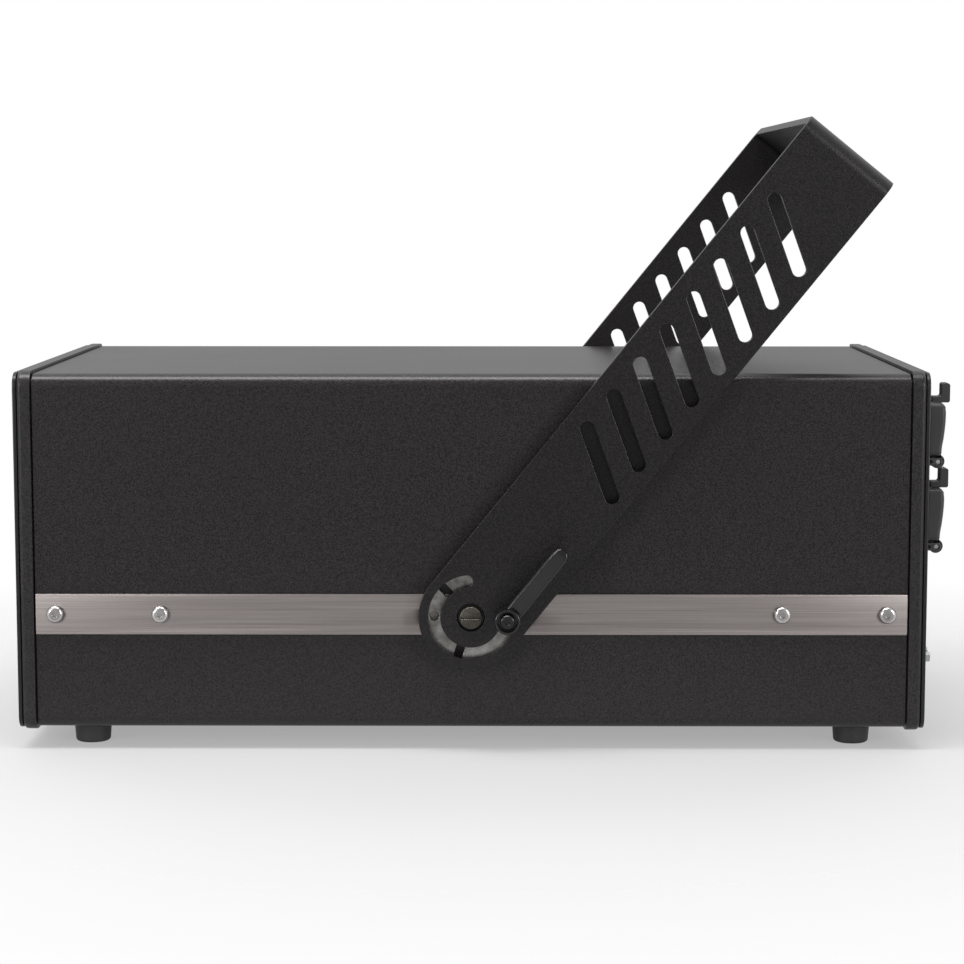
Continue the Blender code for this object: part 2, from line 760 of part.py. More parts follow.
def make_frames(parent):
    """The two frames, which share a mesh."""
    ring = loft([frame_loop(outward, inset) for outward, inset in frame_section()], ring=True)
    mesh = make_mesh("frame", ring, "black_powder_coat")
    place_piece("front_frame", mesh, parent, (-HALF_BODY, 0, BODY_MIDDLE), FACE_FRONT)
    place_piece("rear_frame", mesh, parent, (HALF_BODY, 0, BODY_MIDDLE), FACE_REAR)


def panel_outline():
    """The outline of both end panels, seen from outside, about the body's middle."""
    half_y = HALF_WIDTH + FRAME_PROUD - PANEL_INSET
    half_z = BODY_HEIGHT / 2 + FRAME_PROUD - PANEL_INSET
    radius = BODY_EDGE_RADIUS + FRAME_PROUD - PANEL_INSET
    return flat(rounded_rectangle(half_y, half_z, radius, 0, CORNER_STEPS))


def make_front_panel(parent):
    """The front panel with the window's opening."""
    window = flat(rounded_rectangle(WINDOW_WIDTH / 2, WINDOW_HEIGHT / 2, WINDOW_CORNER_RADIUS, 0, 3,
                                    (0, WINDOW_Z - BODY_MIDDLE)))
    bm = plate(panel_outline(), [window], PANEL_THICKNESS)
    add_piece("front_panel", bm, "black_panel", parent, (-(FRAME_FACE + FIT), 0, BODY_MIDDLE), FACE_FRONT)


def vent_slots(centre):
    """Broken rings of slots in front of the fan, each ring's breaks between its neighbours'."""
    slots = []
    ring_pitch = FAN_BORE_RADIUS / (VENT_RINGS + 0.5)
    width = ring_pitch - VENT_BAR
    sector = 2 * math.pi / VENT_BREAKS
    for ring in range(1, VENT_RINGS + 1):
        radius = ring * ring_pitch
        gap = ring_pitch / radius
        for part in range(VENT_BREAKS):
            start = (part + ring % 2 / 2) * sector + gap / 2
            slots.append(arc_slot(radius, width, start, start + sector - gap, centre, ring + 2, 2))
    return slots


def make_rear_panel(parent):
    """The rear panel with its connector holes and fan vent."""
    barrels = ((MAINS_Y, MAINS_Z), (MAINS_Y, LOWER_MAINS_Z), (KEY_Y, LOWER_MAINS_Z), (NETWORK_Y, LOW_ROW_Z))
    holes = [round_hole(BARREL_RADIUS + HOLE_CLEARANCE, 24, (y, z - BODY_MIDDLE)) for y, z in barrels]
    holes.append(round_hole(KEY_BARREL_RADIUS + HOLE_CLEARANCE, 20, (KEY_Y, MAINS_Z - BODY_MIDDLE)))
    half_y = DATA_SHELL_WIDTH / 2 + HOLE_CLEARANCE
    half_z = DATA_SHELL_HEIGHT / 2 + HOLE_CLEARANCE
    holes.append(flat(rounded_rectangle(half_y, half_z, DATA_SHELL_RADIUS, 0, 2,
                                        (DATA_Y, LOW_ROW_Z - BODY_MIDDLE))))
    holes += vent_slots((FAN_Y, FAN_Z - BODY_MIDDLE))
    bm = plate(panel_outline(), holes, PANEL_THICKNESS)
    add_piece("rear_panel", bm, "black_panel", parent, (FRAME_FACE + FIT, 0, BODY_MIDDLE), FACE_REAR)


# Side strips, rails and their screws


def side_bar(half_length, height, thickness, along):
    """A flat bar with holes for the strip screws, the pivot bolt and the stud, seen from outside."""
    outline = [(-half_length, -height / 2), (half_length, -height / 2), (half_length, height / 2),
               (-half_length, height / 2)]
    holes = [round_hole(SCREW_SHANK_RADIUS + HOLE_CLEARANCE, 12, (along * x, 0)) for x in SCREW_PLACES]
    holes.append(round_hole(PIVOT_THREAD_RADIUS + HOLE_CLEARANCE))
    holes.append(round_hole(STUD_RADIUS + HOLE_CLEARANCE, 12, (along * STUD_OFFSET, 0)))
    return plate(outline, holes, thickness)


def strip_screw():
    """A button-head socket screw whose head rests at zero."""
    length = FIT + STRIP_THICKNESS + FIT + SHELL_WALL + FIT + SCREW_IN_RAIL
    tall = SCREW_HEAD_HEIGHT
    return loft([circle(SCREW_SHANK_RADIUS, -length, 12), circle(SCREW_SHANK_RADIUS, 0, 12),
                 circle(SCREW_HEAD_RADIUS, 0, 12), circle(SCREW_HEAD_RADIUS * 0.93, tall / 2, 12),
                 circle(SCREW_HEAD_RADIUS * 0.62, tall, 12), hexagon(SCREW_SOCKET_WIDTH, tall),
                 hexagon(SCREW_SOCKET_WIDTH, tall - SCREW_SOCKET_DEPTH)])


def make_sides(parent):
    """The rail inside, the strip outside and the four screws of each side."""
    screw = make_mesh("strip_screw", strip_screw(), "polished_steel")
    for side, sign in SIDES.items():
        turn = FACE_SIDE[side]
        rail = side_bar(HALF_BODY - SPIGOT_DEPTH - RAIL_END_GAP, RAIL_HEIGHT, RAIL_THICKNESS, -sign)
        add_piece("seam_rail_" + side, rail, "aluminium", parent, (0, sign * RAIL_BACK, PIVOT_HEIGHT), turn)
        strip = side_bar(HALF_BODY - FIT, STRIP_HEIGHT, STRIP_THICKNESS, -sign)
        add_piece("side_strip_" + side, strip, "brushed_stainless", parent,
                  (0, sign * (HALF_WIDTH + FIT), PIVOT_HEIGHT), turn)
        for index, x in enumerate(SCREW_PLACES):
            place_piece("strip_screw_%s_%d" % (side, index + 1), screw, parent,
                        (x, sign * (STRIP_FACE + FIT), PIVOT_HEIGHT), turn)


# Feet


def make_feet(parent):
    """Four rubber feet, each with a recess for its screw."""
    tip = FOOT_RADIUS - FOOT_TAPER
    foot = loft([circle(FOOT_RECESS_RADIUS, FOOT_RECESS_DEPTH, 20), circle(FOOT_RECESS_RADIUS, 0, 20),
                 circle(tip - FOOT_TIP_ROUND, 0, 20), circle(tip, FOOT_TIP_ROUND, 20),
                 circle(FOOT_RADIUS, FOOT_HEIGHT / 2, 20), circle(FOOT_RADIUS, FOOT_HEIGHT - FIT, 20)])
    mesh = make_mesh("foot", foot, "black_rubber")
    for end, x_sign in (("front", -1), ("rear", 1)):
        for side, y_sign in SIDES.items():
            place = (x_sign * (HALF_BODY - FOOT_FROM_END), y_sign * (HALF_WIDTH - FOOT_FROM_SIDE), 0)
            place_piece("foot_%s_%s" % (end, side), mesh, parent, place)


# Pivots and clamps


def disc_outline(along):
    """A friction disc's outline: round, with a notch cut in at each of its notch angles."""
    half_notch = math.asin(DISC_NOTCH_WIDTH / 2 / DISC_RADIUS)
    root = DISC_RADIUS - DISC_NOTCH_DEPTH
    degrees = [angle if along == 1 else 180 - angle for angle in DISC_NOTCH_ANGLES]
    middles = sorted(math.radians(angle) % (2 * math.pi) for angle in degrees)
    outline = []
    for index, middle in enumerate(middles):
        across = (-math.sin(middle), math.cos(middle))
        roots = [(root * math.cos(middle) + side * DISC_NOTCH_WIDTH / 2 * across[0],
                  root * math.sin(middle) + side * DISC_NOTCH_WIDTH / 2 * across[1]) for side in (-1, 1)]
        outline += roots
        following = middles[(index + 1) % len(middles)]
        sweep = (following - middle) % (2 * math.pi) - 2 * half_notch
        steps = round(math.degrees(sweep) / DISC_STEP)
        for i in range(steps + 1):
            angle = middle + half_notch + sweep * i / steps
            outline.append((DISC_RADIUS * math.cos(angle), DISC_RADIUS * math.sin(angle)))
    return outline


def make_friction_disc(side, sign, parent):
    """The bright disc between strip and arm, with holes for the bolt and stud and a tapped one."""
    along = -sign
    holes = [round_hole(PIVOT_SHOULDER_RADIUS + HOLE_CLEARANCE),
             round_hole(STUD_RADIUS + HOLE_CLEARANCE, 12, (along * STUD_OFFSET, 0)),
             round_hole(DISC_TAPPED_RADIUS, 12, (-along * STUD_OFFSET, 0))]
    bm = plate(disc_outline(along), holes, DISC_THICKNESS)
    add_piece("friction_disc_" + side, bm, "polished_steel", parent, (0, sign * DISC_BACK, PIVOT_HEIGHT),
              FACE_SIDE[side])


def make_pivot_bolt(side, parent):
    """A slotted shoulder bolt: thread in the rail, shoulder through disc and arm, head in the arm."""
    thread_end = RAIL_BACK - PIVOT_BEHIND_RAIL
    head_start = COUNTERBORE_FLOOR + FIT
    head_end = head_start + PIVOT_HEAD_HEIGHT
    bolt = loft([circle(PIVOT_THREAD_RADIUS, thread_end), circle(PIVOT_THREAD_RADIUS, DISC_BACK),
                 circle(PIVOT_SHOULDER_RADIUS, DISC_BACK), circle(PIVOT_SHOULDER_RADIUS, head_start),
                 circle(PIVOT_HEAD_RADIUS, head_start), circle(PIVOT_HEAD_RADIUS, head_end - EDGE_BREAK),
                 circle(PIVOT_HEAD_RADIUS - EDGE_BREAK, head_end)])
    half = DRIVER_SLOT_WIDTH / 2
    reach = PIVOT_HEAD_RADIUS * 1.2
    slot = box((-reach, -half, head_end - DRIVER_SLOT_DEPTH), (reach, half, head_end + DRIVER_SLOT_DEPTH))
    bm = combine(bolt, [slot], "DIFFERENCE")
    add_piece("pivot_bolt_" + side, bm, "dull_zinc", parent, (0, 0, PIVOT_HEIGHT), FACE_SIDE[side])


def lever_handle(start_height):
    """The lever's arm along +X: a rounded bar that rises away from the bracket."""
    root = (HUB_RADIUS + HUB_POCKET_RADIUS) / 2 / LEVER_REACH
    # share of the reach, then shares of the bar's width and depth
    stations = ((root, 1.10, 0.80), (0.22, 1.02, 0.92), (0.34, 0.94, 0.98), (0.55, 0.94, 1.00),
                (0.80, 0.98, 0.98), (0.92, 0.94, 0.90), (0.97, 0.74, 0.72), (1.0, 0.40, 0.42))
    count = 10
    loops = []
    for share, width, depth in stations:
        rise = start_height + LEVER_RISE * (share - LEVER_RISE_START) ** LEVER_RISE_POWER
        loop = []
        for i in range(count):
            angle = 2 * math.pi * (i + 0.5) / count
            across = math.copysign(abs(math.cos(angle)) ** LEVER_SQUARENESS, math.cos(angle))
            up = math.copysign(abs(math.sin(angle)) ** LEVER_SQUARENESS, math.sin(angle))
            loop.append((share * LEVER_REACH, across * width * LEVER_WIDTH / 2,
                         rise + up * depth * LEVER_DEPTH / 2))
        loops.append(loop)
    return loft(loops)


def make_clamp(side, sign, parent):
    """The clamp stud with its collar and screw, and the lever that lifts and turns on it."""
    base = ARM_OUTSIDE + FIT
    collar_top = base + COLLAR_HEIGHT
    hub_low = base + HUB_BASE_GAP
    hub_top = hub_low + HUB_HEIGHT
    web_low = collar_top + FIT
    web_top = web_low + HUB_WEB
    screw_low = hub_top - HUB_SCREW_HEIGHT
    stud_low = RAIL_FACE - STUD_INSIDE
    axis = add_empty("clamp_axis_" + side, parent, (STUD_OFFSET, 0, PIVOT_HEIGHT), FACE_SIDE[side])
    stud = loft([circle(STUD_RADIUS - EDGE_BREAK, stud_low), circle(STUD_RADIUS, stud_low + EDGE_BREAK),
                 circle(STUD_RADIUS, base), circle(COLLAR_RADIUS, base), circle(COLLAR_RADIUS, collar_top),
                 circle(NECK_RADIUS, collar_top), circle(NECK_RADIUS, screw_low),
                 circle(HUB_SCREW_RADIUS, screw_low), circle(HUB_SCREW_RADIUS, hub_top - EDGE_BREAK),
                 circle(HUB_SCREW_RADIUS - EDGE_BREAK, hub_top), circle(HUB_SCREW_SOCKET_RADIUS, hub_top),
                 circle(HUB_SCREW_SOCKET_RADIUS, screw_low + EDGE_BREAK)])
    add_piece("clamp_stud_" + side, stud, "black_gloss", axis)
    bore = NECK_RADIUS + HOLE_CLEARANCE
    hub = loft([circle(HUB_POCKET_RADIUS, hub_low), circle(HUB_RADIUS, hub_low),
                circle(HUB_RADIUS, hub_top - HUB_EDGE_BREAK), circle(HUB_RADIUS - HUB_EDGE_BREAK, hub_top),
                circle(HUB_POCKET_RADIUS, hub_top), circle(HUB_POCKET_RADIUS, web_top),
                circle(bore, web_top), circle(bore, web_low), circle(HUB_POCKET_RADIUS, web_low)], ring=True)
    lever = combine(hub, [lever_handle((web_low + web_top) / 2 + LEVER_ABOVE_WEB)])
    moved(lever, turn_about("Z", LEVER_ANGLE if sign < 0 else 180 - LEVER_ANGLE))
    add_piece("clamp_lever_" + side, lever, "black_gloss", axis)


# Bracket


def bracket_outline(total):
    """The bracket's blank: a long plate with round ends about its two pivots."""
    outline = []
    for centre, start in ((0, math.pi / 2), (total, -math.pi / 2)):
        for i in range(ARM_END_STEPS + 1):
            angle = start + math.pi * i / ARM_END_STEPS
            outline.append((centre + ARM_HALF_WIDTH * math.cos(angle), ARM_HALF_WIDTH * math.sin(angle)))
    return outline


def bracket_holes(total):
    """The slots of both arms, the arc slots and bolt holes at the pivots and the holes of the web."""
    holes = []
    tilt = math.radians(ARM_SLOT_TILT)
    half_across = ARM_HALF_WIDTH - ARM_SLOT_EDGE - ARM_SLOT_WIDTH / 2
    length = 2 * half_across / math.sin(tilt)
    first = WEB_OUTSIDE - LAST_SLOT_FROM_WEB - (ARM_SLOTS - 1) * ARM_SLOT_PITCH
    for index in range(ARM_SLOTS):
        along = first + index * ARM_SLOT_PITCH
        holes.append(obround(length, ARM_SLOT_WIDTH, tilt, (along, ARM_SLOT_SHIFT)))
        holes.append(obround(length, ARM_SLOT_WIDTH, math.pi - tilt, (total - along, ARM_SLOT_SHIFT)))
    sweep = math.radians(ARC_SLOT_HALF_ANGLE)
    for centre, middle in ((0, math.pi), (total, 0)):
        holes.append(round_hole(PIVOT_SHOULDER_RADIUS + HOLE_CLEARANCE, 16, (centre, 0)))
        holes.append(arc_slot(STUD_OFFSET, 2 * SLOT_HALF_WIDTH, middle - sweep, middle + sweep, (centre, 0),
                              ARC_SLOT_STEPS))
    holes.append(round_hole(RIGGING_HOLE_RADIUS, 16, (total / 2, 0)))
    for side in (-1, 1):
        holes.append(round_hole(SIDE_HOLE_RADIUS, 12, (total / 2 + side * SIDE_HOLE_PITCH / 2, 0)))
    return holes


def make_bracket(parent):
    """The U bracket: a blank with slots and pivot holes, folded at both ends of its web."""
    arm_flat = WEB_OUTSIDE - BRACKET_BEND_RADIUS
    web_flat = 2 * ARM_OUTSIDE - 2 * BRACKET_BEND_RADIUS
    total = 2 * arm_flat + BRACKET_BEND_RADIUS * math.pi + web_flat
    creases = fold_creases(arm_flat, BRACKET_BEND_RADIUS, web_flat, BRACKET_BEND_STEPS)
    bm = plate(bracket_outline(total), bracket_holes(total), BRACKET_PLATE, 0.0, creases)
    fold(bm, BRACKET_PLATE, arm_flat, BRACKET_BEND_RADIUS, web_flat)
    moved(bm, turn_about("Z", 90))
    counterbores = []
    radius = PIVOT_HEAD_RADIUS + COUNTERBORE_CLEARANCE
    for half_turn in (0, 180):
        bore = rod(radius, COUNTERBORE_FLOOR, ARM_OUTSIDE + COUNTERBORE_DEPTH, 24)
        counterbores.append(moved(bore, turn_about("Z", half_turn) @ turn_about("X", 90)))
    bm = combine(bm, counterbores, "DIFFERENCE")
    add_piece("bracket", bm, "black_powder_coat", parent, (0, 0, PIVOT_HEIGHT),
              (0, math.radians(90 - BRACKET_ANGLE), 0))


# Front window and mask


def make_window(parent):
    """The output window behind the front panel and the plate that masks its lower part."""
    half_y = WINDOW_WIDTH / 2 + WINDOW_LAP
    half_z = WINDOW_HEIGHT / 2 + WINDOW_LAP
    glass = loft([rounded_rectangle(half_y, half_z, WINDOW_CORNER_RADIUS, z, 2)
                  for z in (0, WINDOW_THICKNESS)])
    add_piece("aperture_window", glass, "window_glass", parent, (WINDOW_BACK, 0, WINDOW_Z), FACE_FRONT)
    half = WINDOW_WIDTH / 2 + MASK_SIDE_LAP
    outline = flat(rounded_rectangle(half, MASK_HEIGHT / 2, WINDOW_CORNER_RADIUS, 0, 3))
    slot_middle = MASK_HEIGHT / 2 - MASK_SLOT_FROM_TOP - MASK_TRAVEL / 2
    slot_y = half - MASK_SLOT_FROM_SIDE
    holes = [obround(MASK_TRAVEL, MASK_SLOT_WIDTH, math.pi / 2, (side * slot_y, slot_middle))
             for side in (-1, 1)]
    mask_z = WINDOW_Z - WINDOW_HEIGHT / 2 - MASK_BELOW_WINDOW - MASK_HEIGHT / 2
    add_piece("aperture_mask", plate(outline, holes, MASK_THICKNESS), "black_panel", parent,
              (-(PANEL_FACE + FIT), 0, mask_z), FACE_FRONT)


# Rear connectors, each made along Z with the panel's face at zero


def flange_loops(drop=0.0):
    """Back and front loops of a connector flange whose lower edge may hang lower by drop."""
    return [rounded_rectangle(FLANGE_WIDTH / 2, (FLANGE_HEIGHT + drop) / 2, FLANGE_CORNER_RADIUS, z, 5,
                              (0.0, -drop / 2)) for z in (FIT, FLANGE_FACE)]


def barrel_loops():
    """The round barrel that goes through the panel behind a flange."""
    return [matched_circle(BARREL_RADIUS, -BARREL_DEPTH), matched_circle(BARREL_RADIUS, FIT)]


def round_socket(drop=0.0):
    """A round socket in a flange: a bore with a centre post."""
    floor = FLANGE_FACE - SOCKET_BORE_DEPTH
    bore = [matched_circle(SOCKET_BORE_RADIUS, z) for z in (FLANGE_FACE, floor)]
    post = [matched_circle(SOCKET_POST_RADIUS, z) for z in (floor, floor + SOCKET_POST_HEIGHT)]
    return loft(barrel_loops() + flange_loops(drop) + bore + post)


def network_socket():
    """A network socket in a connector flange, with its rectangular port."""
    port = [rounded_rectangle(PORT_WIDTH / 2, PORT_HEIGHT / 2, PORT_CORNER_RADIUS, z)
            for z in (FLANGE_FACE, FLANGE_FACE - PORT_DEPTH)]
    return loft(barrel_loops() + flange_loops() + port)


def data_socket():
    """A signal connector: flat flange, shell that stands proud, and a body behind."""
    def shell(z):
        return rounded_rectangle(DATA_SHELL_WIDTH / 2, DATA_SHELL_HEIGHT / 2, DATA_SHELL_RADIUS, z, 3)

    front = FIT + DATA_FLANGE_THICKNESS
    flange = [rounded_rectangle(DATA_WIDTH / 2, DATA_HEIGHT / 2, DATA_SHELL_RADIUS / 2, z, 3)
              for z in (FIT, front)]
    return loft([shell(-DATA_BODY_DEPTH), shell(FIT)] + flange + [shell(front), shell(DATA_SHELL_PROUD)])


def at_hinge(bm):
    """Lays a piece made along Z across the unit, on the lid's hinge axis."""
    return moved(bm, shift(0, -HINGE_BELOW_CENTRE, HINGE_PROUD) @ turn_about("Y", 90))


def ear_profile():
    """A hinge ear's side view: straight out of the flange and round about the pin."""
    points = [(-HINGE_BELOW_CENTRE - HINGE_EAR_HALF, FLANGE_FACE / 2),
              (-HINGE_BELOW_CENTRE + HINGE_EAR_HALF, FLANGE_FACE / 2)]
    for i in range(EAR_STEPS + 1):
        angle = math.pi * i / EAR_STEPS
        points.append((-HINGE_BELOW_CENTRE + HINGE_EAR_HALF * math.cos(angle),
                       HINGE_PROUD + HINGE_EAR_HALF * math.sin(angle)))
    return points


def mains_socket():
    """A round socket whose flange hangs down to two hinge ears and their pin."""
    drop = HINGE_BELOW_CENTRE + HINGE_BARREL_RADIUS - FLANGE_HEIGHT / 2
    half = FLANGE_WIDTH / 2
    extras = [extrude_profile(ear_profile(), left, left + HINGE_EAR_WIDTH)
              for left in (-half, half - HINGE_EAR_WIDTH)]
    pin_half = half - HINGE_EAR_WIDTH / 3
    extras.append(at_hinge(rod(HINGE_PIN_RADIUS, -pin_half, pin_half, 10)))
    return combine(round_socket(drop), extras)


def socket_lid():
    """The sprung lid about its hinge axis: a dished cap, its knuckle and a finger tab."""
    base = FLANGE_FACE + FIT
    half_x = FLANGE_WIDTH / 2
    half_y = FLANGE_HEIGHT / 2 - LID_SHORTER

    def loop(inset, height):
        radius = max(LID_CORNER_RADIUS - inset / 2, LID_SHORTER)
        return rounded_rectangle(half_x - inset, half_y - inset, radius, height, 4, (0.0, LID_SHORTER))

    edge = LID_PROUD - base
    cap = loft([loop(LID_RIM, base + LID_RECESS), loop(LID_RIM, base), loop(0, base),
                loop(0, base + edge * 0.65), loop(LID_RIM * 0.3, base + edge * 0.88),
                loop(LID_RIM * 1.1, LID_PROUD)])
    top = FLANGE_HEIGHT / 2
    half_tab = LID_TAB_WIDTH / 2
    tab_root = top + LID_TAB_ROOT
    root = box((-half_tab, top - LID_TAB_ROOT, base + LID_RECESS / 2),
               (half_tab, tab_root, base + edge * 0.75))
    upright = box((-half_tab, top - LID_SHORTER, base + edge * 0.5), (half_tab, tab_root, LID_TAB_REACH))
    tip = box((-half_tab, top, LID_TAB_REACH - LID_TAB_THICKNESS),
              (half_tab, top + LID_TAB_RISE, LID_TAB_REACH - LID_SHORTER / 2))
    knuckle_half = half_x - HINGE_EAR_WIDTH - FIT
    pin_bore = HINGE_PIN_RADIUS + HOLE_CLEARANCE
    knuckle = at_hinge(tube(HINGE_BARREL_RADIUS, pin_bore, -knuckle_half, knuckle_half, 14))
    link_half = knuckle_half - HINGE_EAR_WIDTH / 3
    link = box((-link_half, -HINGE_BELOW_CENTRE + HINGE_EAR_HALF, HINGE_PROUD - HINGE_EAR_HALF),
               (link_half, -half_y + LID_RIM, HINGE_PROUD + HINGE_EAR_HALF))
    bm = combine(cap, [root, upright, tip, knuckle, link])
    return moved(bm, shift(0, HINGE_BELOW_CENTRE, -HINGE_PROUD))


def make_connectors(parent):
    """Mains in and out with their lids, and the low-voltage sockets."""
    unit = make_mesh("mains", mains_socket(), "black_plastic")
    lid = make_mesh("lid", socket_lid(), "black_plastic")
    for use, z in (("inlet", MAINS_Z), ("outlet", LOWER_MAINS_Z)):
        hinge = (PANEL_FACE + HINGE_PROUD, MAINS_Y, z - HINGE_BELOW_CENTRE)
        place_piece("mains_" + use, unit, parent, (PANEL_FACE, MAINS_Y, z), FACE_REAR)
        place_piece(use + "_lid", lid, parent, hinge, FACE_REAR)
    low_voltage = (("interlock_socket", round_socket(), "black_plastic", KEY_Y, LOWER_MAINS_Z),
                   ("network_socket", network_socket(), "steel_cage", NETWORK_Y, LOW_ROW_Z),
                   ("data_socket", data_socket(), "steel_cage", DATA_Y, LOW_ROW_Z))
    for name, socket, finish_name, y, z in low_voltage:
        add_piece(name, socket, finish_name, parent, (PANEL_FACE, y, z), FACE_REAR)


def make_key_switch(parent):
    """The key switch's body and the rotor that the key turns."""
    bore = KEY_ROTOR_RADIUS + KEY_ROTOR_CLEARANCE
    top = FIT + KEY_BEZEL_HEIGHT
    floor = top - KEY_ROTOR_DEPTH - FIT
    edge = 2 * EDGE_BREAK
    count = 20
    body = loft([circle(KEY_BARREL_RADIUS, -KEY_BARREL_DEPTH, count), circle(KEY_BARREL_RADIUS, FIT, count),
                 circle(KEY_BEZEL_RADIUS, FIT, count), circle(KEY_BEZEL_RADIUS, top - edge, count),
                 circle(KEY_BEZEL_RADIUS - edge, top, count), circle(bore, top, count),
                 circle(bore, floor, count)])
    add_piece("key_switch", body, "steel_cage", parent, (PANEL_FACE, KEY_Y, MAINS_Z), FACE_REAR)
    rotor = loft([circle(KEY_ROTOR_RADIUS, -KEY_ROTOR_DEPTH, count),
                  circle(KEY_ROTOR_RADIUS, -EDGE_BREAK, count),
                  circle(KEY_ROTOR_RADIUS - EDGE_BREAK, 0, count)])
    keyway = box((-KEYWAY_WIDTH / 2, -KEYWAY_LENGTH / 2, -KEYWAY_DEPTH),
                 (KEYWAY_WIDTH / 2, KEYWAY_LENGTH / 2, KEYWAY_DEPTH))
    add_piece("key_rotor", combine(rotor, [keyway], "DIFFERENCE"), "polished_steel", parent,
              (PANEL_FACE + top, KEY_Y, MAINS_Z), FACE_REAR)


# Cooling fan


def polar(radius, degrees):
    """A point by radius and angle."""
    return (radius * math.cos(math.radians(degrees)), radius * math.sin(math.radians(degrees)))


def fan_frame():
    """The fan's square frame, with a hub on four spider arms at its inner face."""
    half = FAN_SIZE / 2
    outline = flat(rounded_rectangle(half, half, FAN_CORNER_RADIUS, 0, 3))
    start_height = SPIDER_THICKNESS * 0.8
    shell = plate(outline, [round_hole(FAN_BORE_RADIUS, 28)], FAN_DEPTH - start_height, start_height)
    quarters = []
    for quarter in range(4):
        start = quarter * 90 + SPIDER_ARM_ANGLE / 2
        sweep = 90 - SPIDER_ARM_ANGLE
        rim = [polar(FAN_BORE_RADIUS, start + sweep * i / 7) for i in range(8)]
        hub = [polar(FAN_HUB_RADIUS, start + sweep * (1 - i / 4)) for i in range(5)]
        quarters.append(rim + hub)
    return combine(shell, [plate(outline, quarters, SPIDER_THICKNESS)])


def fan_rotor():
    """A hub with twisted blades, lofted along its axis."""
    tip = FAN_BORE_RADIUS - FAN_TIP_GAP
    depth = FAN_DEPTH - SPIDER_THICKNESS - FAN_END_GAP
    half_pitch = 180 / FAN_BLADES
    levels = 4
    loops = []
    for level in range(levels):
        share = level / (levels - 1)
        loop = []
        for blade in range(FAN_BLADES):
            middle = 2 * half_pitch * blade + FAN_BLADE_TWIST * share
            section = ((FAN_HUB_RADIUS, -half_pitch * 0.6), (FAN_HUB_RADIUS, -FAN_BLADE_ROOT / 2),
                       (tip, -FAN_BLADE_TIP / 2), (tip, FAN_BLADE_TIP / 2),
                       (FAN_HUB_RADIUS, FAN_BLADE_ROOT / 2), (FAN_HUB_RADIUS, half_pitch * 0.6))
            loop += [(*polar(radius, middle + offset), depth * share) for radius, offset in section]
        loops.append(loop)
    return loft(loops)


def make_fan(parent):
    """The fan against the rear panel, its rotor turning in front of the spider."""
    back = FRAME_FACE - FAN_DEPTH
    add_piece("fan_frame", fan_frame(), "black_plastic", parent, (back, FAN_Y, FAN_Z), FACE_REAR)
    add_piece("fan_rotor", fan_rotor(), "black_plastic", parent,
              (back + SPIDER_THICKNESS + 2 * FIT, FAN_Y, FAN_Z), FACE_REAR)


# Optics


def make_bench(parent):
    """The optical bench: a thick plate on fins that stand on the tray."""
    under = BENCH_TOP - BENCH_THICKNESS
    pitch = (2 * BENCH_HALF_WIDTH - BENCH_FIN_WIDTH) / (BENCH_FINS - 1)
    points = [(BENCH_HALF_WIDTH, BENCH_TOP), (-BENCH_HALF_WIDTH, BENCH_TOP)]
    for fin in range(BENCH_FINS):
        left = -BENCH_HALF_WIDTH + fin * pitch
        right = left + BENCH_FIN_WIDTH
        fin_loop = [(left, under), (left, ON_TRAY), (right, ON_TRAY), (right, under)]
        if fin == 0:
            fin_loop = fin_loop[1:]
        if fin == BENCH_FINS - 1:
            fin_loop = fin_loop[:-1]
        points += fin_loop
    add_piece("optical_bench", extrude_profile(points, BENCH_FRONT, BENCH_REAR), "aluminium", parent)


def laser_body(length, width):
    """A laser module along Z, its nose down at zero."""
    body = [rounded_rectangle(width / 2, LASER_HEIGHT / 2, LASER_CORNER_RADIUS, z, 3)
            for z in (length, NOSE_LENGTH)]
    return loft(body + [matched_circle(NOSE_RADIUS, z, 3) for z in (NOSE_LENGTH, 0)])


def mirror_on_post(height):
    """A mirror at 45 degrees on a foot; height is its middle's above the foot's underside."""
    foot = MIRROR_FOOT / 2
    half = MIRROR_SIZE / 2
    post = MIRROR_POST / 2
    thin = MIRROR_THICKNESS / 2
    foot_top = height - half - MIRROR_THICKNESS
    base = box((-foot, -foot, 0), (foot, foot, foot_top))
    column = box((-post, -post, foot_top - thin), (post, post, height - half + thin))
    glass = box((-thin, -half, height - half), (thin, half, height + half))
    return combine(base, [column, moved(glass, turn_about("Z", -45))])


def make_optics(parent):
    """Three lasers, the mirrors that join their beams and the one that turns them to the scanner."""
    nose_y = BEAM_LINE_Y + NOSE_FROM_BEAM
    add_piece("laser_blue", laser_body(BLUE_LENGTH, BLUE_WIDTH), "aluminium", parent,
              (BLUE_NOSE_X, BEAM_LINE_Y, BEAM_Z), FACE_REAR)
    add_piece("laser_red", laser_body(RED_LENGTH, RED_WIDTH), "aluminium", parent,
              (RED_X, nose_y, BEAM_Z), FACE_SIDE["far"])
    add_piece("laser_green", laser_body(GREEN_LENGTH, GREEN_WIDTH), "aluminium", parent,
              (GREEN_X, nose_y, BEAM_Z), FACE_SIDE["far"])
    mirror = make_mesh("mirror", mirror_on_post(BEAM_Z - ON_BENCH), "mirror_coating")
    place_piece("combining_mirror_1", mirror, parent, (RED_X, BEAM_LINE_Y, ON_BENCH))
    place_piece("combining_mirror_2", mirror, parent, (GREEN_X, BEAM_LINE_Y, ON_BENCH))
    place_piece("steering_mirror", mirror, parent, (SCANNER_X, BEAM_LINE_Y, ON_BENCH), (0, 0, math.pi / 2))


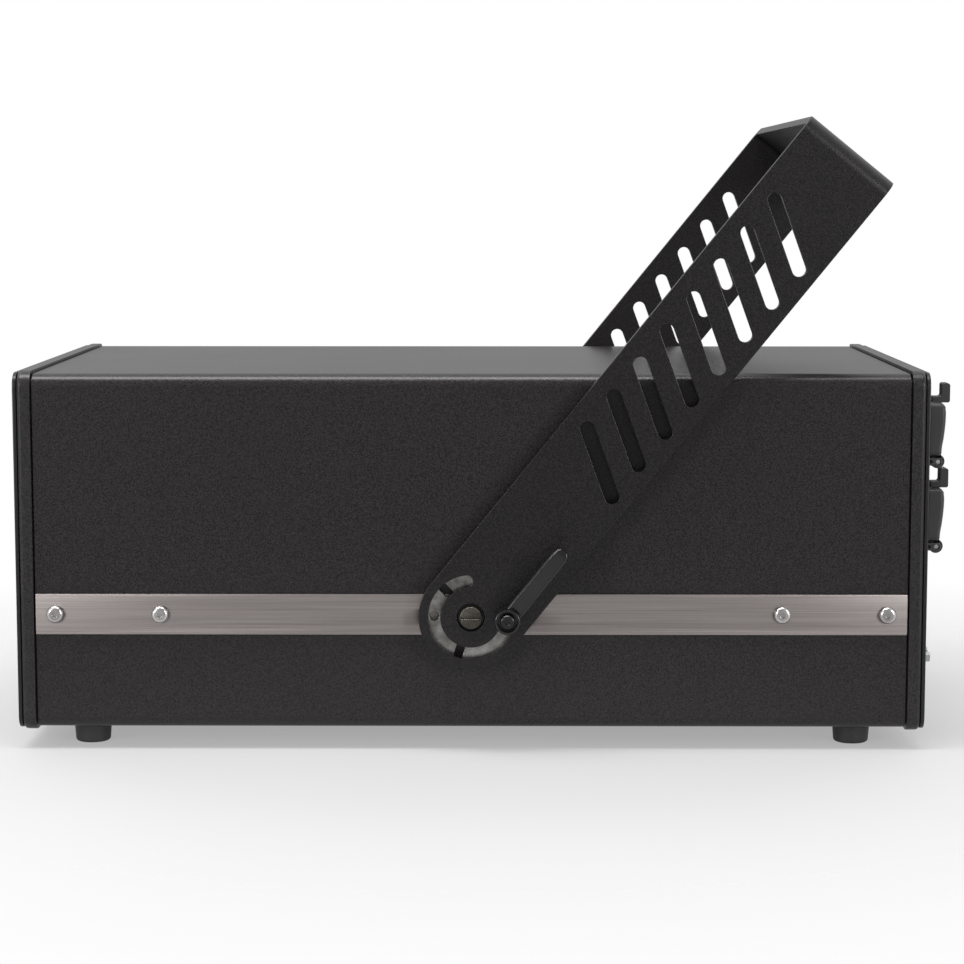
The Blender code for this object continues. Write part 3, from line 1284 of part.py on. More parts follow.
def galvo_mirror(reach, half_length, tilt):
    """A small mirror on a shaft along Z; its middle is reach below zero, its shaft enters the motor."""
    half = GALVO_MIRROR_WIDTH / 2
    thin = GALVO_MIRROR_THICKNESS / 2
    near = half_length - reach
    shaft = [matched_circle(SHAFT_RADIUS, z, 1) for z in (MOTOR_LENGTH / 2, near + SHAFT_RADIUS)]
    blade = [rounded_rectangle(half, thin, thin / 2, z, 1) for z in (near, -half_length - reach)]
    return moved(loft(shaft + blade), turn_about("Z", tilt))


def make_scanner(parent):
    """The scanner block with two galvo motors, each turning a small mirror on its shaft."""
    mirror_half = GALVO_MIRROR_WIDTH / 2
    clear = mirror_half + SCANNER_CLEARANCE
    side_clear = GALVO_MIRROR_WIDTH + SCANNER_SIDE_CLEARANCE
    top = WINDOW_Z + MOTOR_RADIUS + SCANNER_CLEARANCE
    far = side_clear + SCANNER_WALL
    rear_wall = box((clear, -side_clear, ON_BENCH), (clear + SCANNER_WALL, far, top))
    side_wall = box((-clear, side_clear, ON_BENCH), (clear + SCANNER_WALL / 2, far, top))
    bore = MOTOR_RADIUS + HOLE_CLEARANCE
    reach = 2 * SCANNER_WALL
    bores = [moved(rod(bore, -reach, reach, 20), shift(clear, 0, BEAM_Z) @ turn_about("Y", 90)),
             moved(rod(bore, -reach / 4, reach, 20), shift(0, side_clear, WINDOW_Z) @ turn_about("X", -90))]
    bm = combine(combine(rear_wall, [side_wall]), bores, "DIFFERENCE")
    add_piece("scanner_block", bm, "aluminium", parent, (SCANNER_X, 0, 0))
    body = tube(MOTOR_RADIUS, SHAFT_RADIUS + HOLE_CLEARANCE, 0, MOTOR_LENGTH)
    motor = make_mesh("galvo_motor", body, "steel_cage")
    places = (("x", (SCANNER_X + clear, 0, BEAM_Z), (0, math.pi / 2, 0),
               galvo_mirror(clear, mirror_half, -45)),
              ("y", (SCANNER_X, side_clear, WINDOW_Z), (-math.pi / 2, 0, 0),
               galvo_mirror(side_clear, GALVO_MIRROR_WIDTH, 45)))
    for axis, place, turn, mirror in places:
        place_piece("galvo_motor_" + axis, motor, parent, place, turn)
        add_piece("galvo_mirror_" + axis, mirror, "mirror_coating", parent, place, turn)


def make_shutter(parent):
    """The safety shutter: a small motor whose shaft swings a blade across the beam."""
    beam = BEAM_Z - ON_BENCH
    motor_top = beam - SHUTTER_MOTOR_BELOW_BEAM
    place = (SHUTTER_X, BEAM_LINE_Y - SHUTTER_REACH, ON_BENCH)
    motor = tube(SHUTTER_MOTOR_RADIUS, SHAFT_RADIUS + HOLE_CLEARANCE, 0, motor_top)
    add_piece("shutter_motor", motor, "steel_cage", parent, place)
    thin = SHUTTER_THICKNESS / 2
    half_flag = SHUTTER_FLAG / 2
    low = motor_top + 2 * FIT
    shaft_top = motor_top + SHUTTER_SHAFT_RISE
    shaft = rod(SHAFT_RADIUS, motor_top / 2, shaft_top, 12)
    arm = box((-thin, -SHAFT_RADIUS * 0.8, low), (thin, SHUTTER_REACH, shaft_top - 2 * FIT))
    flag = box((-thin, SHUTTER_REACH - half_flag, low), (thin, SHUTTER_REACH + half_flag, beam + half_flag))
    add_piece("shutter_blade", combine(shaft, [arm, flag]), "black_panel", parent, place)


# Electronics


def make_power_supply(parent):
    """The power supply, a long box with its terminals on a step along one side."""
    half_y = SUPPLY_WIDTH / 2
    top = ON_TRAY + SUPPLY_HEIGHT
    step_y = -half_y + SUPPLY_TERMINAL_STEP
    step_z = ON_TRAY + SUPPLY_HEIGHT / 2
    profile = [(-half_y, ON_TRAY), (half_y, ON_TRAY), (half_y, top), (step_y, top), (step_y, step_z),
               (-half_y, step_z)]
    supply = extrude_profile(profile, -SUPPLY_LENGTH, 0)
    y = -HALF_WIDTH + SUPPLY_FROM_SIDE + half_y
    add_piece("power_supply", supply, "steel_cage", parent, (BAY_REAR, y, 0))


def make_control_board(parent):
    """The control board on four legs beside the power supply."""
    low_y = -HALF_WIDTH + SUPPLY_FROM_SIDE + SUPPLY_WIDTH + BOARD_FROM_SUPPLY
    width = HALF_WIDTH - BOARD_FROM_SIDE - low_y
    half_x = BOARD_LENGTH / 2
    half_y = width / 2
    top = BOARD_STANDOFF + BOARD_THICKNESS
    lap = BOARD_THICKNESS / 3
    board = box((-half_x, -half_y, BOARD_STANDOFF), (half_x, half_y, top))
    extras = []
    for sx in (-1, 1):
        for sy in (-1, 1):
            place = shift(sx * (half_x - BOARD_LEG_INSET), sy * (half_y - BOARD_LEG_INSET), 0)
            extras.append(moved(rod(BOARD_LEG_RADIUS, 0, BOARD_STANDOFF + lap, 8), place))
    for x, y, size_x, size_y, height in BOARD_PARTS:
        extras.append(box(((x - size_x / 2) * BOARD_LENGTH, (y - size_y / 2) * width, top - lap),
                          ((x + size_x / 2) * BOARD_LENGTH, (y + size_y / 2) * width, top + height)))
    add_piece("control_board", combine(board, extras), "circuit_board", parent,
              (BAY_REAR - half_x, low_y + half_y, ON_TRAY))


def main():
    """Builds the whole projector."""
    clear_scene()
    housing = add_empty("housing_middle", None, (HOUSING_X, 0, 0))
    make_tray(housing)
    make_cover(housing)
    make_frames(housing)
    make_front_panel(housing)
    make_rear_panel(housing)
    make_sides(housing)
    make_feet(housing)
    for side, sign in SIDES.items():
        make_friction_disc(side, sign, housing)
        make_pivot_bolt(side, housing)
        make_clamp(side, sign, housing)
    make_bracket(housing)
    make_window(housing)
    make_connectors(housing)
    make_key_switch(housing)
    make_fan(housing)
    make_bench(housing)
    make_optics(housing)
    make_scanner(housing)
    make_shutter(housing)
    make_power_supply(housing)
    make_control_board(housing)


main()
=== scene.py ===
# %% [markdown]
# # A laser show projector in its tilting bracket
# The projector is a long box of folded sheet metal with a black powder coat. A brushed steel
# strip runs along each side, and a bracket of slotted plate swings round the box on two bolts.
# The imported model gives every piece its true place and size. This file dresses it: the camera
# and the light come first, then the finishes, then one piece after another, from the shells
# to the smallest screw.

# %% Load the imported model
import json
import math

import bpy
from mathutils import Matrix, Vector


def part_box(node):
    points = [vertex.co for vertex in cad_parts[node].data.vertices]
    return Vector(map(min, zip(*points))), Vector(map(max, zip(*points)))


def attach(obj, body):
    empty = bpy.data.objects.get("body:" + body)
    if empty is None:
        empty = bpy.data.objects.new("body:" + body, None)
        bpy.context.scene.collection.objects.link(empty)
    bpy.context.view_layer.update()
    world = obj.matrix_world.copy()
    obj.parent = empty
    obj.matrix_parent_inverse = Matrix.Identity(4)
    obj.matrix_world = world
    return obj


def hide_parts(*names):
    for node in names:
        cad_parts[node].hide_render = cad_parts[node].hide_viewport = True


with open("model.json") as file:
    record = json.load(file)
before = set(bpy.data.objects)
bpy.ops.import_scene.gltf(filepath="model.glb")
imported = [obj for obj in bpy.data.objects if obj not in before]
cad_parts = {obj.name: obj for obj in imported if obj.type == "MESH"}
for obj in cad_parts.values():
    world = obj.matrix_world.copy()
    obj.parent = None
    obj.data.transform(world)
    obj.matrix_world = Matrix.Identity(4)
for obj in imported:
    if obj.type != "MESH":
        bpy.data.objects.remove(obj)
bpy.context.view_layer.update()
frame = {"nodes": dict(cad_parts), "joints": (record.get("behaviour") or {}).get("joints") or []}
places = {joint["name"]: Vector(joint["pos_m"]) for joint in frame["joints"] if "pos_m" in joint}
pivot = places["bracket_tilt"]
print(len(frame["nodes"]), "nodes, pivot at", [round(value * 1000, 1) for value in pivot], "mm")

# %% [markdown]
# ## Camera
# The photograph was taken from straight in front of the long side with a short telephoto lens.
# The top face just shows, so the camera stands a little higher than the box and looks down by
# less than seven degrees.

# %% Camera
CAMERA_PLACE = (0.0094, -1.4919, 0.3071)
CAMERA_DOWN = 6.607
CAMERA_TURN = 0.408
LENS = 93.92

bpy.ops.object.camera_add(location=CAMERA_PLACE,
                          rotation=(math.radians(90 - CAMERA_DOWN), 0, math.radians(CAMERA_TURN)))
camera = bpy.context.object
camera.data.lens = LENS
camera.data.sensor_width = 36
bpy.context.scene.camera = camera
print("angle of view", round(math.degrees(camera.data.angle), 2), "degrees")

# %% [markdown]
# ## Light
# A product shot of a black object on white needs light from all round, because the black paint
# shows hardly anything but what it reflects. One lamp would leave it a black hole with a spot on
# it, so the sky is a tent round the object: dim in front, where the camera stands, and brightest
# overhead. A ramp along the arc from front to back says how bright the tent is. What the camera
# sees of it directly is plain white. A strong softbox above the near edge draws the bright line
# along the rounded fold, and two softboxes in front lift both ends of the side. The plain view
# transform keeps white paper white.

# %% Sky and lamps
SKY_PEAK = 2.0
# The tent along its arc: where it lies between front (-1) and back (1), and how bright it is there
SKY_ARC = ((-1.0, 0.46), (-0.93, 0.46), (-0.72, 0.46), (-0.35, 0.85), (0.05, 1.35), (0.55, 1.55),
           (0.85, 0.80), (1.0, 0.50))

bpy.context.scene.view_settings.view_transform = "Standard"

sky = bpy.data.worlds.new("studio_sky")
sky.use_nodes = True
sky_nodes = sky.node_tree.nodes
sky_links = sky.node_tree.links
tent = sky_nodes["Background"]
parts = sky_nodes.new("ShaderNodeSeparateXYZ")
sky_links.new(sky_nodes.new("ShaderNodeTexCoord").outputs["Generated"], parts.inputs[0])
along = sky_nodes.new("ShaderNodeMapRange")
along.inputs[1].default_value = -1.0
sky_links.new(parts.outputs["Y"], along.inputs[0])
ramp = sky_nodes.new("ShaderNodeValToRGB")
stops = ramp.color_ramp.elements
for place, bright in SKY_ARC[1:-1]:
    stops.new((place + 1) / 2)
for stop, (place, bright) in zip(stops, SKY_ARC):
    share = bright / SKY_PEAK
    stop.color = (share, share, share, 1)
sky_links.new(along.outputs[0], ramp.inputs[0])
tent.inputs["Strength"].default_value = SKY_PEAK
sky_links.new(ramp.outputs[0], tent.inputs["Color"])
paper_white = sky_nodes.new("ShaderNodeBackground")
paper_white.inputs["Color"].default_value = (1.0, 1.0, 1.0, 1.0)
both = sky_nodes.new("ShaderNodeMixShader")
sky_links.new(sky_nodes.new("ShaderNodeLightPath").outputs["Is Camera Ray"], both.inputs[0])
sky_links.new(tent.outputs[0], both.inputs[1])
sky_links.new(paper_white.outputs[0], both.inputs[2])
sky_links.new(both.outputs[0], sky_nodes["World Output"].inputs["Surface"])
bpy.context.scene.world = sky


def lamp(name, place, target, width, height, power):
    """A rectangular soft lamp that faces its target."""
    bpy.ops.object.light_add(type="AREA", location=place)
    item = bpy.context.object
    item.name = name
    item.data.shape = "RECTANGLE"
    item.data.size = width
    item.data.size_y = height
    item.data.energy = power
    item.visible_camera = False
    item.rotation_euler = (Vector(target) - Vector(place)).to_track_quat("-Z", "Y").to_euler()


lamp("softbox_above", (-0.45, -0.40, 1.75), (-0.45, -0.1, 0.2), 1.8, 0.5, 42)
lamp("softbox_left", (-1.5, -1.9, 0.6), (-0.3, -0.1, 0.1), 0.5, 1.0, 22)
lamp("softbox_right", (1.6, -1.9, 0.6), (0.3, -0.1, 0.1), 0.5, 1.0, 24)
print("a tent with", len(SKY_ARC), "stops and three softboxes")

# %% [markdown]
# ## Wiring a finish
# A finish is a small network of nodes. Two helpers keep it readable: a Wire is a number that
# varies over the surface and can be added and multiplied in plain Python, and a Finish makes
# any node from its type, its settings and the values of its sockets. The patterns read Object
# coordinates, which are metres here, so a noise scale of 1000 gives a grain of about 1 mm.


# %% Wires and finishes
class Wire:
    """A node's output that Python can do sums with."""

    def __init__(self, finish, socket):
        self.finish = finish
        self.socket = socket

    def maths(self, operation, first, second):
        return self.finish.node("ShaderNodeMath", {"operation": operation}, {0: first, 1: second})

    def __add__(self, other):
        return self.maths("ADD", self, other)

    def __radd__(self, other):
        return self.maths("ADD", other, self)

    def __sub__(self, other):
        return self.maths("SUBTRACT", self, other)

    def __mul__(self, other):
        return self.maths("MULTIPLY", self, other)


class Finish:
    """A material while its nodes are wired up."""

    def __init__(self, name, constants):
        self.material = bpy.data.materials.new(name)
        self.material.use_nodes = True
        self.tree = self.material.node_tree
        self.surface = self.tree.nodes["Principled BSDF"]
        for socket, value in constants.items():
            self.surface.inputs[socket].default_value = value
        self.place = self.node("ShaderNodeTexCoord", {}, {}, "Object")

    def node(self, kind, settings, inputs, output=0):
        """Makes one node: its settings first, then the values or wires of its sockets."""
        node = self.tree.nodes.new(kind)
        for name, value in settings.items():
            setattr(node, name, value)
        for key, value in inputs.items():
            if isinstance(value, Wire):
                self.tree.links.new(value.socket, node.inputs[key])
            else:
                node.inputs[key].default_value = value
        return Wire(self, node.outputs[output])

    def stretched(self, scale):
        """The surface's place with each axis scaled, for a pattern that runs one way."""
        return self.node("ShaderNodeMapping", {}, {"Vector": self.place, "Scale": scale})

    def noise(self, scale, detail=2.0, place=None):
        """Soft random patches between 0 and 1."""
        return self.node("ShaderNodeTexNoise", {},
                         {"Vector": place or self.place, "Scale": scale, "Detail": detail})

    def steps(self, value, low, high):
        """Spreads a value from low to high over 0 to 1, and holds it there outside."""
        return self.node("ShaderNodeMapRange", {}, {0: value, 1: low, 2: high})

    def colour(self, factor, first, second):
        """A colour between two others."""
        return self.node("ShaderNodeMix", {"data_type": "RGBA"},
                         {0: factor, 6: (*first, 1.0), 7: (*second, 1.0)}, 2)

    def feed(self, socket, wire):
        """Leads a wire to one of the surface's sockets."""
        self.tree.links.new(wire.socket, self.surface.inputs[socket])

    def relief(self, height, distance, strength=1.0):
        """Raises the surface by a height pattern of the given depth in metres."""
        bump = self.node("ShaderNodeBump", {},
                         {"Height": height, "Distance": distance, "Strength": strength})
        self.feed("Normal", bump)


# %% [markdown]
# ## Floor
# The projector stands on a sheet of white acrylic that is lit a little from below, so the gap
# between its feet stays light and the shadow is soft. A large plane would do, but its far edge
# would show beside the box. So this one fades out with the distance from the box, and the white
# of the background takes over without an edge.

# %% Floor
FLOOR_SIZE = 6.4
FADE_START = 0.26
FADE_END = 0.60

sheet = Finish("acrylic_sheet", {"Roughness": 0.7, "Emission Strength": 1.0})
cloud = sheet.noise(3, 2)
sheet.feed("Base Color", sheet.colour(cloud, (0.20, 0.20, 0.20), (0.22, 0.22, 0.22)))
sheet.feed("Emission Color", sheet.colour(cloud, (0.36, 0.36, 0.36), (0.37, 0.37, 0.37)))
distance = sheet.node("ShaderNodeVectorMath", {"operation": "LENGTH"}, {0: sheet.place}, 1)
sheet.feed("Alpha", sheet.steps(distance, FADE_END, FADE_START))
bpy.ops.mesh.primitive_plane_add(size=FLOOR_SIZE, location=(0, 0, 0))
floor = bpy.context.object
floor.name = "studio_floor"
floor.data.materials.append(sheet.material)
print("floor fades out between", FADE_START, "and", FADE_END, "m")

# %% [markdown]
# ## Powder coat
# Powder is sprayed on dry and melted in an oven. It flows into a skin with a fine orange-peel
# grain and a soft sheen, here nearly black with a trace of warm grey. Modelled grain would take
# millions of faces, so it is a bump of under 1 mm, and small sparks of lighter grey stand for
# the sparkle in the powder.


# %% Powder coat
def powder_coat(name, dark, light, roughness, depth):
    """A fine grained paint between two greys."""
    finish = Finish(name, {"Specular IOR Level": 0.30})
    grain = finish.noise(1500, 3)
    peel = finish.noise(620, 1)
    patches = finish.noise(9, 2)
    tone = finish.steps(grain * 0.9 + peel * 0.1, 0.38, 0.66)
    finish.feed("Base Color", finish.colour(tone, dark, light))
    finish.feed("Roughness", roughness + (patches - 0.5) * 0.05 + (grain - 0.5) * 0.12)
    finish.relief(grain * 0.6 + peel * 0.4, depth, 0.8)
    return finish.material


coat = powder_coat("powder_coat_black", (0.0030, 0.0026, 0.0028), (0.024, 0.0205, 0.0225), 0.30,
                   0.00012)
frame_coat = powder_coat("frame_coat_black", (0.005, 0.0045, 0.0048), (0.025, 0.0225, 0.024), 0.31,
                         0.00012)
bracket_coat = powder_coat("bracket_coat_black", (0.0018, 0.0015, 0.0016), (0.013, 0.0108, 0.0118),
                           0.34, 0.00012)
panel_coat = powder_coat("panel_coat_black", (0.005, 0.005, 0.0055), (0.012, 0.012, 0.013), 0.34,
                         0.00008)
print("four coats")

# %% [markdown]
# ## Bare metals
# Brushed steel is scratched in one direction, so its noise is stretched until it is far finer
# across the brushing than along it. Plated, cast and turned parts have an even grain instead.
# Each metal has its own tint: the strip is warm, zinc is dull olive and aluminium is bluish.


# %% Bare metals
def brushed_metal(name, dark, light, roughness, scale, depth):
    """A metal brushed along one axis: the scale is small along it and large across."""
    finish = Finish(name, {"Metallic": 1.0})
    strokes = finish.noise(1.0, 4, finish.stretched(scale))
    wide = finish.noise(1.0, 2, finish.stretched([value * 0.22 for value in scale]))
    tone = finish.steps(strokes * 0.65 + wide * 0.35, 0.30, 0.70)
    finish.feed("Base Color", finish.colour(tone, dark, light))
    finish.feed("Roughness", roughness + (strokes - 0.5) * 0.16)
    finish.relief(strokes, depth)
    return finish.material


def plain_metal(name, dark, light, roughness, grain, depth):
    """A cast, plated or turned metal with a fine even grain and faint patches."""
    finish = Finish(name, {"Metallic": 1.0})
    fine = finish.noise(grain, 3)
    patches = finish.noise(grain * 0.06, 2)
    tone = finish.steps(fine * 0.4 + patches * 0.6, 0.35, 0.65)
    finish.feed("Base Color", finish.colour(tone, dark, light))
    finish.feed("Roughness", roughness + (patches - 0.5) * 0.16 + (fine - 0.5) * 0.08)
    finish.relief(fine, depth)
    return finish.material


strip_steel = brushed_metal("strip_brushed_steel", (0.20, 0.179, 0.172), (0.31, 0.280, 0.270), 0.38,
                            (14, 60, 2600), 0.000012)
disc_steel = brushed_metal("disc_ground_steel", (0.09, 0.088, 0.085), (0.42, 0.41, 0.40), 0.26,
                           (150, 150, 150), 0.00003)
screw_steel = plain_metal("screw_polished_steel", (0.36, 0.35, 0.34), (0.58, 0.56, 0.55), 0.24, 2200,
                          0.000006)
zinc = plain_metal("bolt_dull_zinc", (0.055, 0.052, 0.044), (0.13, 0.124, 0.102), 0.40, 1400, 0.00002)
aluminium = brushed_metal("milled_aluminium", (0.50, 0.51, 0.53), (0.68, 0.69, 0.71), 0.36,
                          (40, 1500, 1500), 0.00001)
cage = plain_metal("plated_sheet_steel", (0.30, 0.31, 0.32), (0.50, 0.51, 0.53), 0.34, 900, 0.00001)
mirror_metal = plain_metal("mirror_coating_silver", (0.80, 0.80, 0.83), (0.90, 0.90, 0.93), 0.05, 300,
                           0.000001)
brass = plain_metal("contact_brass", (0.55, 0.40, 0.16), (0.72, 0.55, 0.26), 0.28, 1500, 0.000005)
print("eight metals")

# %% [markdown]
# ## Plastics, rubber and glass
# The levers are moulded with a gloss, the sockets in a matt black, and the feet are rubber,
# which scatters light and shows a dusty grey bloom. The window is coated glass: nearly
# clear from the front, greenish at its edge.


# %% Plastics, rubber and glass
def moulded(name, dark, light, roughness, grain, depth, coat_weight=0.0):
    """A moulded plastic or rubber with a fine texture from its mould."""
    finish = Finish(name, {"Coat Weight": coat_weight, "Coat Roughness": 0.12})
    fine = finish.noise(grain, 3)
    patches = finish.noise(60, 3)
    tone = finish.steps(fine * 0.5 + patches * 0.5, 0.35, 0.65)
    finish.feed("Base Color", finish.colour(tone, dark, light))
    finish.feed("Roughness", roughness + (patches - 0.5) * 0.12 + (fine - 0.5) * 0.08)
    finish.relief(fine, depth)
    return finish.material


lever_black = moulded("lever_black_gloss", (0.002, 0.002, 0.002), (0.005, 0.005, 0.005), 0.22, 1500,
                      0.00001)
socket_black = moulded("socket_black_matt", (0.008, 0.008, 0.009), (0.020, 0.020, 0.022), 0.45, 1800,
                       0.00003)
foot_rubber = moulded("foot_rubber_black", (0.007, 0.007, 0.007), (0.019, 0.018, 0.018), 0.62, 1200,
                      0.00005)
board_green = moulded("board_green_lacquer", (0.006, 0.055, 0.022), (0.012, 0.10, 0.04), 0.32, 500,
                      0.00003, 0.3)

window_finish = Finish("window_coated_glass", {"Transmission Weight": 1.0, "IOR": 1.46})
smear = window_finish.noise(35, 3)
window_finish.feed("Base Color", window_finish.colour(smear, (0.86, 0.93, 0.92), (0.92, 0.97, 0.96)))
window_finish.feed("Roughness", 0.02 + smear * 0.03)
window_glass = window_finish.material
print("three plastics, a rubber and the glass")

# %% [markdown]
# ## Modelling helpers
# Every piece starts as a primitive, or as a flat outline that is filled and drawn up into a
# plate. It is then shaped in edit mode with the operators that a modeller would reach for.
# Points, edges and faces are picked in code by where they are. Each helper leaves the piece
# selected alone and in object mode, so the steps can follow each other in any order. Two faces
# that meet at less than the smooth angle are shaded as one round surface, and an edge sharper
# than the break angle is broken with a small bevel.

# %% Picking and shaping
SMOOTH_ANGLE = math.radians(38)
BREAK_ANGLE = math.radians(32)


def activate(piece):
    """Makes a piece the only one selected."""
    bpy.ops.object.select_all(action="DESELECT")
    piece.select_set(True)
    bpy.context.view_layer.objects.active = piece


def apply_place(piece):
    """Moves a piece's place, turn and size into its mesh."""
    activate(piece)
    bpy.ops.object.transform_apply(location=True, rotation=True, scale=True)
    return piece


def lay(piece, location=(0, 0, 0), rotation=(0, 0, 0)):
    """Turns and moves a piece that was made about the origin."""
    piece.location = location
    piece.rotation_euler = rotation
    return apply_place(piece)


def block(name, low, high):
    """A block between two corners."""
    middle = [(a + b) / 2 for a, b in zip(low, high)]
    bpy.ops.mesh.primitive_cube_add(size=1, location=middle, scale=[b - a for a, b in zip(low, high)])
    bpy.context.object.name = name
    return apply_place(bpy.context.object)


def drum(name, radius, low, high, count=48, top_radius=None):
    """A round drum along Z, or a cone where its top has another radius."""
    bpy.ops.mesh.primitive_cone_add(vertices=count, radius1=radius, depth=high - low,
                                    radius2=radius if top_radius is None else top_radius,
                                    location=(0, 0, (low + high) / 2))
    bpy.context.object.name = name
    return apply_place(bpy.context.object)


def pick(piece, kind, test):
    """Selects points, edges or faces by a test of their middle and direction, and enters edit mode."""
    activate(piece)
    mesh = piece.data
    bpy.ops.object.mode_set(mode="EDIT")
    bpy.ops.mesh.select_mode(type=kind)
    bpy.ops.mesh.select_all(action="DESELECT")
    bpy.ops.object.mode_set(mode="OBJECT")
    if kind == "FACE":
        for face in mesh.polygons:
            face.select = test(face.center, face.normal)
    elif kind == "EDGE":
        for edge in mesh.edges:
            first, last = (mesh.vertices[index].co for index in edge.vertices)
            edge.select = test((first + last) / 2, (last - first).normalized())
    else:
        for point in mesh.vertices:
            point.select = test(point.co, point.normal)
    bpy.ops.object.mode_set(mode="EDIT")


def done():
    """Leaves edit mode."""
    bpy.ops.object.mode_set(mode="OBJECT")


def round_edges(piece, test, radius, steps):
    """Rounds the edges that pass the test."""
    pick(piece, "EDGE", test)
    bpy.ops.mesh.bevel(offset=radius, segments=steps, affect="EDGES", clamp_overlap=False)
    done()


def modify(piece, kind, **settings):
    """Adds one modifier and applies it."""
    activate(piece)
    modifier = piece.modifiers.new(kind.lower(), kind)
    for name, value in settings.items():
        setattr(modifier, name, value)
    bpy.ops.object.modifier_apply(modifier=modifier.name)


def tidy_normals(piece):
    """Merges doubled points and turns every face outwards."""
    pick(piece, "VERT", lambda place, normal: True)
    bpy.ops.mesh.remove_doubles(threshold=0.000002)
    bpy.ops.mesh.normals_make_consistent(inside=False)
    done()


def join(pieces):
    """Joins pieces into the first of them."""
    activate(pieces[0])
    for piece in pieces[1:]:
        piece.select_set(True)
    bpy.ops.object.join()
    return pieces[0]


def cut(piece, cutters):
    """Cuts tools out of a piece and throws the tools away."""
    tool = join(cutters)
    modify(piece, "BOOLEAN", operation="DIFFERENCE", solver="EXACT", object=tool)
    bpy.data.objects.remove(tool, do_unlink=True)
    return piece


def soften(piece, width, steps=2):
    """Breaks every sharp edge a little, as on real metal, and smooths the rest."""
    modify(piece, "BEVEL", width=width, segments=steps, limit_method="ANGLE",
           angle_limit=BREAK_ANGLE, use_clamp_overlap=True)
    activate(piece)
    bpy.ops.object.shade_smooth_by_angle(angle=SMOOTH_ANGLE)
    modify(piece, "WEIGHTED_NORMAL", keep_sharp=True)
    return piece


def twin(piece, name):
    """A copy of a piece with its own mesh."""
    activate(piece)
    bpy.ops.object.duplicate(linked=False)
    bpy.context.object.name = name
    return bpy.context.object


def dress(piece, material, body, slot, *nodes):
    """Gives a finished piece its material and says what it moves with and stands for."""
    piece.data.materials.clear()
    piece.data.materials.append(material)
    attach(piece, body)
    if nodes:
        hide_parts(*nodes)
    print(piece.name, len(piece.data.polygons), "faces")
    return piece


# %% [markdown]
# ## Outlines
# A plate that is cut by laser is easiest to draw flat. An outline is a list of points, and a
# flat curve fills the space between its outer outline and its holes. Extruded and bevelled, it
# becomes the plate, edges already rounded. Round parts are drawn as half of their section, and
# spin turns that profile once round its axis, as a lathe does.


# %% Outlines and plates
def round_line(radius, centre=(0, 0), count=32):
    """A circle."""
    return [(centre[0] + radius * math.cos(2 * math.pi * i / count),
             centre[1] + radius * math.sin(2 * math.pi * i / count)) for i in range(count)]


def box_line(half_x, half_y, radius, centre=(0, 0), steps=6):
    """A rectangle with round corners."""
    points = []
    for quarter, (side_x, side_y) in enumerate(((1, 1), (-1, 1), (-1, -1), (1, -1))):
        for i in range(steps + 1):
            angle = math.pi / 2 * (quarter + i / steps)
            points.append((centre[0] + side_x * (half_x - radius) + radius * math.cos(angle),
                           centre[1] + side_y * (half_y - radius) + radius * math.sin(angle)))
    return points


def arc_line(radius, width, start, end, centre=(0, 0), steps=32, end_steps=8):
    """A slot bent round a centre, with round ends."""
    def spot(arm, angle, swing, turn):
        return (centre[0] + arm * math.cos(angle) + swing * math.cos(turn),
                centre[1] + arm * math.sin(angle) + swing * math.sin(turn))

    half = width / 2
    outside = [start + (end - start) * i / steps for i in range(steps + 1)]
    caps = [math.pi * i / end_steps for i in range(1, end_steps)]
    return ([spot(radius, angle, half, angle) for angle in outside]
            + [spot(radius, end, half, end + cap) for cap in caps]
            + [spot(radius, angle, -half, angle) for angle in reversed(outside)]
            + [spot(radius, start, half, start + math.pi + cap) for cap in caps])


def slot_line(length, width, angle, centre=(0, 0), steps=8):
    """A straight slot whose end centres lie length apart, turned by an angle."""
    points = []
    for end in (1, -1):
        middle_x = centre[0] + end * length / 2 * math.cos(angle)
        middle_y = centre[1] + end * length / 2 * math.sin(angle)
        for i in range(steps + 1):
            turn = angle - end * math.pi / 2 + math.pi * i / steps
            points.append((middle_x + width / 2 * math.cos(turn), middle_y + width / 2 * math.sin(turn)))
    return points


def to_mesh(name, curve):
    """Makes a mesh piece from a curve."""
    piece = bpy.data.objects.new(name, curve)
    bpy.context.scene.collection.objects.link(piece)
    activate(piece)
    bpy.ops.object.convert(target="MESH")
    return bpy.context.object


def plate(name, outer, holes, low, high, edge=0.0):
    """A plate between its outer outline and its holes, from low to high, with rounded edges."""
    curve = bpy.data.curves.new(name, "CURVE")
    curve.dimensions = "2D"
    curve.fill_mode = "BOTH"
    curve.extrude = (high - low) / 2 - edge
    curve.bevel_depth = edge
    curve.bevel_resolution = 1
    curve.offset = -edge
    for line in [outer] + [list(reversed(hole)) for hole in holes]:
        spline = curve.splines.new("POLY")
        spline.points.add(len(line) - 1)
        for point, (x, y) in zip(spline.points, line):
            point.co = (x, y, 0, 1)
        spline.use_cyclic_u = True
    piece = lay(to_mesh(name, curve), (0, 0, (low + high) / 2))
    tidy_normals(piece)
    bpy.ops.object.shade_smooth_by_angle(angle=SMOOTH_ANGLE)
    return piece


def lathe(name, profile, steps=48, closed=False):
    """Spins a profile of radii and heights once round Z. A closed one makes a ring."""
    curve = bpy.data.curves.new(name, "CURVE")
    curve.dimensions = "3D"
    spline = curve.splines.new("POLY")
    spline.points.add(len(profile) - 1)
    for point, (radius, height) in zip(spline.points, profile):
        point.co = (radius, 0, height, 1)
    spline.use_cyclic_u = closed
    piece = to_mesh(name, curve)
    pick(piece, "VERT", lambda place, normal: True)
    bpy.ops.mesh.spin(steps=steps, angle=2 * math.pi, center=(0, 0, 0), axis=(0, 0, 1))
    done()
    tidy_normals(piece)
    bpy.ops.object.shade_smooth_by_angle(angle=SMOOTH_ANGLE)
    return piece


